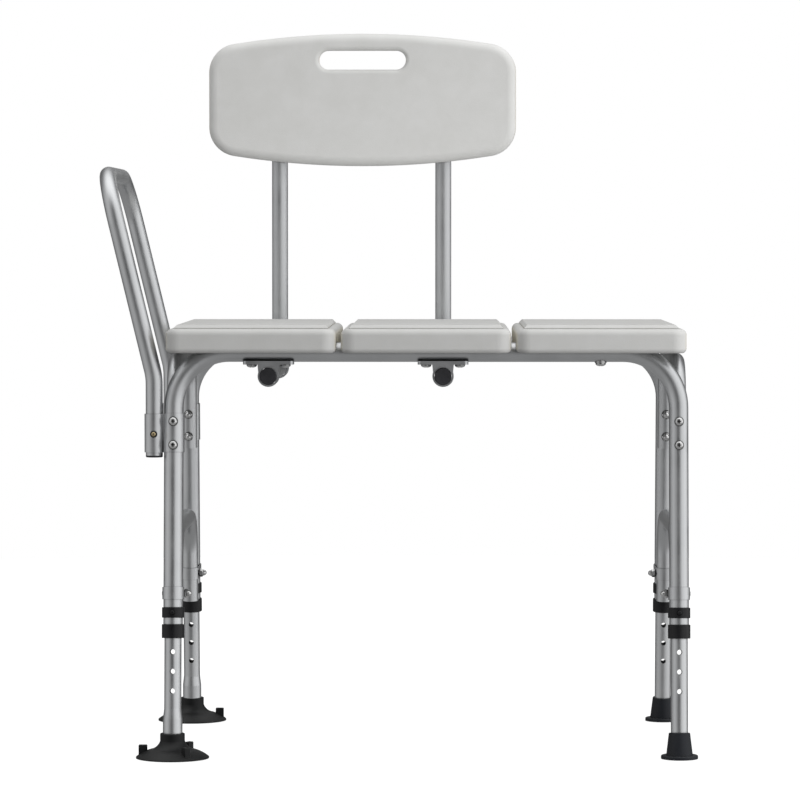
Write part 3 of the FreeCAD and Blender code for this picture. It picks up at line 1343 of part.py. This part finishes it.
def end_plug(head_d):
    """A plug pushed into a tube's end: its head at Z >= 0 and its stem below."""
    stem = size("inner_od") / 2 - size("inner_wall")
    head, rise = head_d / 2, size("plug_head")
    depth = size("plug_length")
    return turned([
        (0, -depth),
        (stem - PLUG_TAPER, -depth),
        (stem, PLUG_LEAD - depth),
        (stem, 0),
        (head, 0),
        (head, rise - PLUG_EDGE),
        (head - PLUG_EDGE, rise),
        (0, rise),
    ])


def make_plugs():
    """End plugs of the back posts and of the arm rail."""
    plug = end_plug(size("inner_od"))
    forward = Rotation(X_AXIS, 90)
    post_plugs = [
        placed(plug, Placement(Vector(MIDDLE_X + x, -size("post_front_y"), size("post_height")), forward))
        for x in POST_CENTRES.values()
    ]
    group("back_post_plugs", post_plugs)
    downward = Rotation(X_AXIS, 180)
    rail_plugs = [
        placed(plug, Placement(Vector(RAIL_X, end * RAIL_Y, size("arm_rail_bottom")), downward))
        for end in (FRONT, REAR)
    ]
    group("arm_rail_plugs", rail_plugs)


# ---------------------------------------------------------------- the bench

for end in (FRONT, REAR):
    make_frame_tube(end)
    make_rail_bracket(end)
    make_rail_button(end)
    make_suction_foot(end)
    make_rubber_tip(end)
    for panel in POST_CENTRES:
        make_post_bracket(panel, end)

for side in (LEFT, RIGHT):
    make_side_tube(side)
    make_arch_brace(side)

for side, end, name in leg_corners():
    make_brace_clamp(side, end, name)
    make_leg_extension(side, end, name)
    make_leg_collar(side, end, name)
    make_snap_ring(side, end, name)
    make_snap_button(side, end, name)
    make_snap_spring(side, end, name)

for name, centre in PANEL_CENTRES.items():
    make_seat_panel(name, centre)

for panel in POST_CENTRES:
    make_back_post(panel)

make_backrest_panel()
make_arm_rail()
group("saddle_washers", make_frame_fasteners() + make_seat_screws())
make_brace_fasteners()
make_backrest_screws()
make_plugs()
doc.recompute()


# ---------------------------------------------------------------- checks and files

def sub_parts():
    """The objects that are pieces of the bench, without the features they are made from."""
    helpers = set()
    for item in doc.Objects:
        if item.TypeId in ("Part::Cut", "Part::MultiFuse"):
            helpers.update(child.Name for child in item.OutList)
    for item in doc.Objects:
        inside_body = item.TypeId.startswith(("PartDesign::", "Sketcher::", "App::", "Spreadsheet::"))
        if item.TypeId == "PartDesign::Body" or not (inside_body or item.Name in helpers):
            yield item


for item in doc.Objects:
    if "Invalid" in item.State or "Error" in item.State:
        raise RuntimeError(f"{item.Name} failed: {item.State}")
for item in sub_parts():
    if item.Shape.isNull() or not item.Shape.isValid() or not item.Shape.Solids:
        raise RuntimeError(f"{item.Label} has no valid solid")

os.makedirs("parts", exist_ok=True)
for item in sub_parts():
    item.Shape.exportStep(f"parts/{item.Label}.step")
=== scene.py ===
import math

import bpy
from mathutils import Euler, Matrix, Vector


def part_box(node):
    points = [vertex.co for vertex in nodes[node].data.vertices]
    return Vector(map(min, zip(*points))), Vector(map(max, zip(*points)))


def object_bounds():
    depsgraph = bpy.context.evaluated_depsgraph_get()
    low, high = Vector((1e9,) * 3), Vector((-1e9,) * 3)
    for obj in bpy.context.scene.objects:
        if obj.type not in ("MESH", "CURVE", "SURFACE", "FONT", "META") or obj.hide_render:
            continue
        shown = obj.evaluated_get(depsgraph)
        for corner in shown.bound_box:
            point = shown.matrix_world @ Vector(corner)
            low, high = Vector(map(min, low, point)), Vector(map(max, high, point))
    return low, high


# Bath transfer bench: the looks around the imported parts. Metres, +Z up, +Y towards the backrest.
# Every visible part comes from the frame; this script gives each its finish and sets up the studio.

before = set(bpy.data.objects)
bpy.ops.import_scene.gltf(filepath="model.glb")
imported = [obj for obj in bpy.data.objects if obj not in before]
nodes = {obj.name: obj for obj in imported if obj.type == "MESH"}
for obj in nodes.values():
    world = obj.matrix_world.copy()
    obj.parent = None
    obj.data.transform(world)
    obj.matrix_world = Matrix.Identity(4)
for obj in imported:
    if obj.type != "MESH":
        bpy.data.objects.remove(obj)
cad_low, cad_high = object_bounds()


# ---------------------------------------------------------------- node helpers

def new_material(name, **sockets):
    """A principled material whose constants sit on the shader's own sockets."""
    material = bpy.data.materials.new(name)
    material.use_nodes = True
    shader = material.node_tree.nodes["Principled BSDF"]
    for socket, setting in sockets.items():
        shader.inputs[socket.replace("_", " ")].default_value = setting
    return material


def add_node(material, kind, **settings):
    """A shader node with some of its properties set."""
    node = material.node_tree.nodes.new(kind)
    for name, setting in settings.items():
        setattr(node, name, setting)
    return node


def link(material, output, socket):
    """Joins an output to an input."""
    material.node_tree.links.new(output, socket)


def shader_of(material):
    """The material's principled shader."""
    return material.node_tree.nodes["Principled BSDF"]


def object_point(material, stretch=(1, 1, 1)):
    """A point of the piece in its own space, scaled along each axis."""
    source = add_node(material, "ShaderNodeTexCoord")
    scaled = add_node(material, "ShaderNodeMapping")
    scaled.inputs["Scale"].default_value = stretch
    link(material, source.outputs["Object"], scaled.inputs["Vector"])
    return scaled.outputs["Vector"]


def noise(material, scale, stretch=(1, 1, 1), detail=3.0, roughness=0.5):
    """Noise from 0 to 1; a small stretch along an axis draws the grain out along it."""
    node = add_node(material, "ShaderNodeTexNoise")
    node.inputs["Scale"].default_value = scale
    node.inputs["Detail"].default_value = detail
    node.inputs["Roughness"].default_value = roughness
    link(material, object_point(material, stretch), node.inputs["Vector"])
    return node.outputs["Fac"]


def cells(material, scale, smoothness=0.6):
    """Rounded cells, as on a textured mould: 0 at each cell's middle."""
    node = add_node(material, "ShaderNodeTexVoronoi", feature="SMOOTH_F1")
    node.inputs["Scale"].default_value = scale
    node.inputs["Smoothness"].default_value = smoothness
    link(material, object_point(material), node.inputs["Vector"])
    return node.outputs["Distance"]


def calculate(material, operation, *terms):
    """One step of arithmetic on one to three terms, each an output or a number."""
    node = add_node(material, "ShaderNodeMath", operation=operation)
    for socket, term in zip(node.inputs, terms):
        if isinstance(term, (int, float)):
            socket.default_value = term
        else:
            link(material, term, socket)
    return node.outputs["Value"]


def remap(material, source, over, to=(0.0, 1.0)):
    """A value that follows its source: over is the source's range, to is the value at its two ends.

    Beyond the range the value is held.
    """
    node = add_node(material, "ShaderNodeMapRange")
    sockets = ("From Min", "From Max", "To Min", "To Max")
    for socket, setting in zip(sockets, (*over, *to)):
        node.inputs[socket].default_value = setting
    link(material, source, node.inputs["Value"])
    return node.outputs["Result"]


def colours(material, source, *stops):
    """A colour ramp: each stop is a place from 0 to 1 and a colour."""
    node = add_node(material, "ShaderNodeValToRGB")
    elements = node.color_ramp.elements
    while len(elements) < len(stops):
        elements.new(0.5)
    for element, (place, colour) in zip(elements, stops):
        element.position = place
        element.color = (*colour, 1)
    link(material, source, node.inputs["Fac"])
    return node.outputs["Color"]


def blend_values(material, share, first, second):
    """First value where share is 0, second where it is 1."""
    node = add_node(material, "ShaderNodeMix", data_type="FLOAT")
    for output, socket in ((share, 0), (first, 2), (second, 3)):
        link(material, output, node.inputs[socket])
    return node.outputs[0]


def blend_colours(material, share, first, second):
    """First colour where share is 0, second where it is 1."""
    node = add_node(material, "ShaderNodeMix", data_type="RGBA")
    link(material, share, node.inputs["Factor"])
    for socket, colour in ((node.inputs[6], first), (node.inputs[7], second)):
        if isinstance(colour, tuple):
            socket.default_value = (*colour, 1)
        else:
            link(material, colour, socket)
    return node.outputs[2]


def relief(material, height, depth, under=None):
    """Bump from a height of 0 to 1, depth metres deep, on top of an earlier bump."""
    node = add_node(material, "ShaderNodeBump")
    node.inputs["Distance"].default_value = depth
    link(material, height, node.inputs["Height"])
    if under is not None:
        link(material, under, node.inputs["Normal"])
    return node.outputs["Normal"]


def part_of_normal(material, axis):
    """How far a face looks along X, Y or Z, from -1 to 1."""
    geometry = add_node(material, "ShaderNodeNewGeometry")
    split = add_node(material, "ShaderNodeSeparateXYZ")
    link(material, geometry.outputs["Normal"], split.inputs["Vector"])
    return split.outputs[axis]


CREASE_SAMPLES = 8


def crease(material, reach, within_piece=True):
    """1 on open faces, less in corners that are closed in within the reach, in metres.

    Other pieces close a corner in too, unless only the piece itself counts.
    """
    node = add_node(material, "ShaderNodeAmbientOcclusion", samples=CREASE_SAMPLES, only_local=within_piece)
    node.inputs["Distance"].default_value = reach
    return node.outputs["AO"]


def height_share(material, low, high):
    """0 below one height of the piece, 1 above another."""
    split = add_node(material, "ShaderNodeSeparateXYZ")
    link(material, object_point(material), split.inputs["Vector"])
    return remap(material, split.outputs["Z"], over=(low, high))


def finish_with(material, colour=None, roughness=None, normal=None):
    """Links what varies over the surface to the shader."""
    shader = shader_of(material)
    for output, socket in ((colour, "Base Color"), (roughness, "Roughness"), (normal, "Normal")):
        if output is not None:
            link(material, output, shader.inputs[socket])
    return material


# ---------------------------------------------------------------- materials

# Noise scales are in cells per metre, depths and reaches in metres. Where a remap goes over a crease, its
# range runs from closed corners to open faces.
DRAWN_OUT = 0.012
DRAWN_ALONG = {"X": (DRAWN_OUT, 1, 1), "Y": (1, DRAWN_OUT, 1), "Z": (1, 1, DRAWN_OUT)}
DRAW_LINES_SCALE = 1100
DRAW_LINES_DEPTH = 0.000012
CLOUDS_SCALE = 26
SATIN_SCALE = 2600
SATIN_DEPTH = 0.000010
METAL_CREASE_REACH = 0.003
ALUMINIUM_TONES = ((0.35, (0.51, 0.52, 0.53)), (0.62, (0.58, 0.59, 0.60)), (0.95, (0.63, 0.64, 0.65)))
# The near-black of the painted shade laid into the tubes' creases and where pieces meet.
ALUMINIUM_SHADE_TONE = (0.14, 0.14, 0.143)
SMOOTHEST_ALUMINIUM = 0.27
DULLEST_ALUMINIUM = 0.40
LINES_IN_TONE = 0.35
LINES_IN_ROUGHNESS = 0.08


def drawn_aluminium(name, low_axis="Z", high_axis=None, turn=None, haze=0.0):
    """Satin anodised tube: fine draw lines along it, soft clouding and a few dull patches.

    A bent tube runs along low_axis below the two heights in turn and along high_axis above them.
    Haze makes it duller.
    """
    material = new_material(name, Metallic=1.0, IOR=1.5)
    lines = noise(material, DRAW_LINES_SCALE, DRAWN_ALONG[low_axis], detail=2)
    if high_axis:
        above = noise(material, DRAW_LINES_SCALE, DRAWN_ALONG[high_axis], detail=2)
        lines = blend_values(material, height_share(material, *turn), lines, above)
    clouds = noise(material, CLOUDS_SCALE, detail=4)
    satin = noise(material, SATIN_SCALE, detail=1)
    tone = calculate(material, "MULTIPLY_ADD", lines, LINES_IN_TONE, clouds)
    colour = colours(material, tone, *ALUMINIUM_TONES)
    # Painted shade: where this piece or another closes a corner in within the reach, the colour goes
    # towards near-black.
    open_share = crease(material, METAL_CREASE_REACH, within_piece=False)
    metal_crease_shade = remap(material, open_share, over=(0.30, 0.80), to=(0.85, 0.0))
    colour = blend_colours(material, metal_crease_shade, colour, ALUMINIUM_SHADE_TONE)
    dullness = (SMOOTHEST_ALUMINIUM + haze, DULLEST_ALUMINIUM + haze)
    dull = remap(material, clouds, over=(0.3, 0.75), to=dullness)
    roughness = calculate(material, "MULTIPLY_ADD", lines, LINES_IN_ROUGHNESS, dull)
    normal = relief(material, lines, DRAW_LINES_DEPTH)
    normal = relief(material, satin, SATIN_DEPTH, normal)
    return finish_with(material, colour, roughness, normal)


PEBBLE_SCALE = 760
PEBBLE_DEPTH = 0.00007
SKIN_SCALE = 2100
SKIN_DEPTH = 0.000018
WAVES_SCALE = 9
WAVES_DEPTH = 0.0009
BLOTCHES_SCALE = 34
PLASTIC_CREASE_REACH = 0.005
DULLER_WHITE = (0.950, 0.950, 0.928)
CLEANER_WHITE = (1.0, 1.0, 0.984)
# The colour and the share of the painted warm bounce light on faces that look sideways into the gaps.
BOUNCE_TINT_WHITE = (0.72, 0.69, 0.60)
BOUNCE_TINT_SHARE = 0.75
# The dark of the painted shade in the plastic's creases.
PLASTIC_SHADE_TONE = (0.20, 0.195, 0.175)
PLASTIC_ROUGHNESS = (0.50, 0.62)


def moulded_plastic(name, level):
    """Blow-moulded polyethylene: fine pebble, slow waviness, and a painted warm bounce light on the faces
    that look sideways.

    The level scales the white of the moulding. Its creases get a painted shade.
    """
    material = new_material(name, IOR=1.49, Specular_IOR_Level=0.42)
    pebble = cells(material, PEBBLE_SCALE)
    skin = noise(material, SKIN_SCALE, detail=2)
    waves = noise(material, WAVES_SCALE, detail=2)
    blotches = noise(material, BLOTCHES_SCALE, detail=5, roughness=0.6)
    duller = tuple(part * level for part in DULLER_WHITE)
    cleaner = tuple(part * level for part in CLEANER_WHITE)
    plain = colours(material, blotches, (0.3, duller), (0.7, cleaner))
    # Painted light: faces that look along X, into the gaps between panels, take a warm tint that stands for
    # light bounced there.
    sideways = calculate(material, "ABSOLUTE", part_of_normal(material, "X"))
    bounce_tinted = remap(material, sideways, over=(0.82, 1.0), to=(0, BOUNCE_TINT_SHARE))
    colour = blend_colours(material, bounce_tinted, plain, BOUNCE_TINT_WHITE)
    # Painted shade: corners of the piece that are closed in within the reach are darkened.
    open_share = crease(material, PLASTIC_CREASE_REACH)
    plastic_crease_shade = remap(material, open_share, over=(0.35, 0.92), to=(0.75, 0.0))
    colour = blend_colours(material, plastic_crease_shade, colour, PLASTIC_SHADE_TONE)
    roughness = remap(material, blotches, over=(0.25, 0.75), to=PLASTIC_ROUGHNESS)
    normal = relief(material, waves, WAVES_DEPTH)
    normal = relief(material, pebble, PEBBLE_DEPTH, normal)
    normal = relief(material, skin, SKIN_DEPTH, normal)
    return finish_with(material, colour, roughness, normal)


MARKS_SCALE = 1500
MARKS_STRETCH = (1, 1, 0.2)
MARKS_DEPTH = 0.000012
SPOTS_SCALE = 420
SPOT_TONE = 0.72
SPOT_ROUGHNESS = 0.16
PLATE_CREASE_REACH = 0.004
# The near-black of the painted shade in the hardware's recesses and where it meets other pieces.
PLATE_SHADE_TONE = (0.01, 0.01, 0.01)


def bright_plate(name, colour, roughness):
    """Plated hardware: bright, with faint turning marks, small dull spots and painted shade in its
    recesses.
    """
    material = new_material(name, Metallic=1.0)
    marks = noise(material, MARKS_SCALE, MARKS_STRETCH, detail=2)
    spots = noise(material, SPOTS_SCALE, detail=4, roughness=0.7)
    dark = tuple(part * SPOT_TONE for part in colour)
    tone = colours(material, spots, (0.30, dark), (0.48, colour))
    # Painted shade: where this piece or another closes a corner in within the reach, the colour goes
    # towards near-black.
    open_share = crease(material, PLATE_CREASE_REACH, within_piece=False)
    plate_crease_shade = remap(material, open_share, over=(0.45, 0.95), to=(1.0, 0.0))
    tone = blend_colours(material, plate_crease_shade, tone, PLATE_SHADE_TONE)
    worn = remap(material, spots, over=(0.3, 0.55), to=(roughness + SPOT_ROUGHNESS, roughness))
    normal = relief(material, marks, MARKS_DEPTH)
    return finish_with(material, tone, worn, normal)


GLOSSY_NYLON_GRAIN = (1400, 0.00002)
MATT_NYLON_GRAIN = (1400, 0.00003)
RUBBER_GRAIN = (900, 0.00005)
SMEARS_SCALE = 45
SMEAR_TONE = 1.5
SMEAR_LIGHT = 0.002
SMEAR_ROUGHNESS = (-0.07, 0.09)
DUST = (0.22, 0.215, 0.205)


def black_moulding(name, colour, roughness, grain, dust=0.0):
    """Black plastic or rubber: a fine skin, with smears and a little dust on what looks up.

    The grain is its noise scale and its depth. Dust is the share of it that lies on level faces.
    """
    material = new_material(name, IOR=1.5, Specular_IOR_Level=0.28)
    grain_scale, grain_depth = grain
    skin = noise(material, grain_scale, detail=3)
    smears = noise(material, SMEARS_SCALE, detail=5, roughness=0.65)
    lighter = tuple(part * SMEAR_TONE + SMEAR_LIGHT for part in colour)
    tone = colours(material, smears, (0.35, colour), (0.75, lighter))
    if dust:
        upward = remap(material, part_of_normal(material, "Z"), over=(0.3, 1.0), to=(0, dust))
        dusty = calculate(material, "MULTIPLY", upward, smears)
        tone = blend_colours(material, dusty, tone, DUST)
    roughnesses = [roughness + step for step in SMEAR_ROUGHNESS]
    worn = remap(material, smears, over=(0.3, 0.7), to=roughnesses)
    normal = relief(material, skin, grain_depth)
    return finish_with(material, tone, worn, normal)


# ---------------------------------------------------------------- finishes of the parts

LEGS = ["front_left", "front_right", "rear_left", "rear_right"]


def paint(material, *names):
    """Gives CAD nodes their material."""
    for name in names:
        slots = nodes[name].data.materials
        slots.clear()
        slots.append(material)


def below_top(name, further, nearer):
    """Two heights measured down from a piece's top, in metres."""
    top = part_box(name)[1].z
    return top - further, top - nearer


# Between which two heights each bent tube turns from upright to level, or the posts from level to upright.
rail_turn = below_top("front_frame_tube", 0.075, 0.035)
side_turn = below_top("side_tube_left", 0.055, 0.03)
arch_turn = below_top("arch_brace_left", 0.06, 0.03)
arm_turn = below_top("arm_rail", 0.07, 0.03)
post_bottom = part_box("back_post_left")[0].z
post_turn = (post_bottom + 0.03, post_bottom + 0.05)

paint(drawn_aluminium("frame_aluminium", "Z", "X", rail_turn), "front_frame_tube", "rear_frame_tube")
paint(drawn_aluminium("side_aluminium", "Z", "Y", side_turn), "side_tube_left", "side_tube_right")
paint(drawn_aluminium("arch_aluminium", "Z", "Y", arch_turn), "arch_brace_left", "arch_brace_right")
paint(
    drawn_aluminium("post_aluminium", "Y", "Z", post_turn, haze=0.1),
    "back_post_left", "back_post_right",
)
paint(drawn_aluminium("arm_aluminium", "Z", "Y", arm_turn), "arm_rail")
paint(drawn_aluminium("leg_aluminium"), *[f"leg_extension_{leg}" for leg in LEGS])
paint(
    drawn_aluminium("bracket_aluminium", "X"),
    "rail_bracket_front", "rail_bracket_rear",
    *[f"brace_clamp_{leg}" for leg in LEGS], *[f"post_bracket_{leg}" for leg in LEGS],
)
# Seat and backrest are one white plastic: the seat's lower level is painted shade and the backrest's higher
# level is painted light.
paint(
    moulded_plastic("seat_polyethylene", level=0.63),
    "seat_panel_left", "seat_panel_middle", "seat_panel_right",
)
paint(moulded_plastic("backrest_polyethylene", level=0.80), "backrest_panel")
paint(
    bright_plate("bright_screws", (0.66, 0.66, 0.66), roughness=0.10),
    "frame_bolts", "frame_nuts", "brace_bolts", "brace_cap_nuts",
    "bracket_screws", "seat_screws", "backrest_screws",
)
paint(
    bright_plate("zinc_steel", (0.52, 0.52, 0.52), roughness=0.30),
    "saddle_washers", "backrest_washers", *[f"snap_spring_{leg}" for leg in LEGS],
)
paint(
    bright_plate("worn_brass", (0.58, 0.47, 0.28), roughness=0.26),
    "rail_button_front", "rail_button_rear",
)
paint(
    black_moulding("black_nylon", (0.007, 0.007, 0.008), roughness=0.34, grain=GLOSSY_NYLON_GRAIN),
    *[f"leg_collar_{leg}" for leg in LEGS], *[f"snap_ring_{leg}" for leg in LEGS],
    *[f"snap_button_{leg}" for leg in LEGS],
)
paint(
    black_moulding("plug_nylon", (0.028, 0.028, 0.031), roughness=0.48, grain=MATT_NYLON_GRAIN),
    "back_post_plugs", "arm_rail_plugs",
)
paint(
    black_moulding("suction_rubber", (0.006, 0.0065, 0.007), roughness=0.5, grain=RUBBER_GRAIN, dust=0.07),
    "suction_foot_front_left", "suction_foot_rear_left",
)
paint(
    black_moulding("tip_rubber", (0.011, 0.0125, 0.016), roughness=0.5, grain=RUBBER_GRAIN, dust=0.07),
    "rubber_tip_front_right", "rubber_tip_rear_right",
)


# ---------------------------------------------------------------- studio

SEAT_X = sum(corner.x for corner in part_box("front_frame_tube")) / 2
CAMERA_DISTANCE = 5.575
CAMERA_HEIGHT = 0.675
CAMERA_LENS = 187.3
CAMERA_PITCH = math.radians(2.256)
CAMERA_YAW = math.radians(0.6245)
CAMERA_ASIDE = 0.025
SENSOR_WIDTH = 36


def make_camera():
    """A long lens in front of the seat, level with its back posts, turned a little down and left."""
    data = bpy.data.cameras.new("camera")
    data.lens = CAMERA_LENS
    data.sensor_width = SENSOR_WIDTH
    camera = bpy.data.objects.new("camera", data)
    camera.location = (SEAT_X + CAMERA_ASIDE, -CAMERA_DISTANCE, CAMERA_HEIGHT)
    camera.rotation_euler = Euler((math.pi / 2 - CAMERA_PITCH, 0, CAMERA_YAW))
    bpy.context.scene.collection.objects.link(camera)
    bpy.context.scene.camera = camera


FLOOR_RADIUS = 3.2
FLOOR_GAP = 0.0006
FLOOR_GLOW = 0.9
FLOOR_CLOUDS_SCALE = 0.7
FLOOR_TONES = ((0.3, (0.21, 0.21, 0.21)), (0.7, (0.23, 0.23, 0.23)))


def make_floor():
    """A pale floor, white from the camera, that throws little light up and stays out of the tubes."""
    bpy.ops.mesh.primitive_circle_add(
        vertices=128, radius=FLOOR_RADIUS, fill_type="NGON", location=(0, 0, cad_low.z - FLOOR_GAP)
    )
    floor = bpy.context.object
    floor.name = "floor"
    material = new_material(
        "pale_floor", Roughness=0.9, Specular_IOR_Level=0.1, Emission_Color=(1, 1, 1, 1)
    )
    tone = colours(material, noise(material, FLOOR_CLOUDS_SCALE), *FLOOR_TONES)
    rays = add_node(material, "ShaderNodeLightPath")
    glow = calculate(material, "MULTIPLY", rays.outputs["Is Camera Ray"], FLOOR_GLOW)
    link(material, glow, shader_of(material).inputs["Emission Strength"])
    unmirrored = calculate(material, "SUBTRACT", 1.0, rays.outputs["Is Glossy Ray"])
    link(material, unmirrored, shader_of(material).inputs["Alpha"])
    floor.data.materials.append(finish_with(material, tone))


AIM_HEIGHT = 0.45


def add_softbox(name, location, width, height, watts):
    """A soft rectangular light that faces the bench and isn't mirrored in it."""
    data = bpy.data.lights.new(name, "AREA")
    data.shape = "RECTANGLE"
    data.size = width
    data.size_y = height
    data.energy = watts
    lamp = bpy.data.objects.new(name, data)
    lamp.location = location
    lamp.visible_glossy = False
    aim = Vector((SEAT_X, 0, AIM_HEIGHT)) - lamp.location
    lamp.rotation_euler = aim.to_track_quat("-Z", "Y").to_euler()
    bpy.context.scene.collection.objects.link(lamp)


# How bright the studio is round the bench, by the angle in degrees from the camera's side, right
# positive: dark where the camera stands, broad light to the right, dimmer to the left, dark behind.
SURROUNDINGS = (
    (-180, 0.18), (-150, 0.08), (-128, 0.09), (-106, 0.40),
    (-67, 0.56), (-41, 0.37), (-17, 0.12), (-4, 0.035),
    (8, 0.16), (29, 0.74), (53, 0.78), (75, 0.95),
    (100, 0.88), (124, 0.12), (150, 0.08), (180, 0.18),
)
SURROUNDINGS_STRENGTH = 1.35
OVERHEAD = 1.17
FLOOR_SHEEN = 0.25
# The sines of the elevations where the light overhead and the sheen from below start and are full.
OVERHEAD_FROM, OVERHEAD_FULL = 0.6, 0.95
SHEEN_FROM, SHEEN_FULL = -0.10, -0.45


def make_world():
    """White to look at; what lights the bench and mirrors in its tubes varies round the room."""
    world = bpy.data.worlds.new("studio")
    bpy.context.scene.world = world
    world.use_nodes = True
    direction = add_node(world, "ShaderNodeTexCoord")
    split = add_node(world, "ShaderNodeSeparateXYZ")
    link(world, direction.outputs["Generated"], split.inputs["Vector"])
    towards_camera = calculate(world, "MULTIPLY", split.outputs["Y"], -1.0)
    angle = calculate(world, "ARCTAN2", split.outputs["X"], towards_camera)
    turn = remap(world, angle, over=(-math.pi, math.pi))
    around = colours(world, turn, *[(degrees / 360 + 0.5, (level,) * 3) for degrees, level in SURROUNDINGS])
    above = remap(world, split.outputs["Z"], over=(OVERHEAD_FROM, OVERHEAD_FULL))
    light = blend_colours(world, above, around, (OVERHEAD,) * 3)
    below = remap(world, split.outputs["Z"], over=(SHEEN_FULL, SHEEN_FROM), to=(1, 0))
    light = blend_colours(world, below, light, (FLOOR_SHEEN,) * 3)
    lit = add_node(world, "ShaderNodeBackground")
    lit.inputs["Strength"].default_value = SURROUNDINGS_STRENGTH
    link(world, light, lit.inputs["Color"])
    seen = world.node_tree.nodes["Background"]
    seen.inputs["Color"].default_value = (1, 1, 1, 1)
    rays = add_node(world, "ShaderNodeLightPath")
    choice = add_node(world, "ShaderNodeMixShader")
    link(world, rays.outputs["Is Camera Ray"], choice.inputs["Fac"])
    link(world, lit.outputs["Background"], choice.inputs[1])
    link(world, seen.outputs["Background"], choice.inputs[2])
    link(world, choice.outputs["Shader"], world.node_tree.nodes["World Output"].inputs["Surface"])


make_camera()
make_floor()
make_world()
add_softbox("key_right", location=(1.5, -1.2, 0.6), width=0.6, height=0.7, watts=11)
bpy.context.scene.view_settings.view_transform = "Standard"
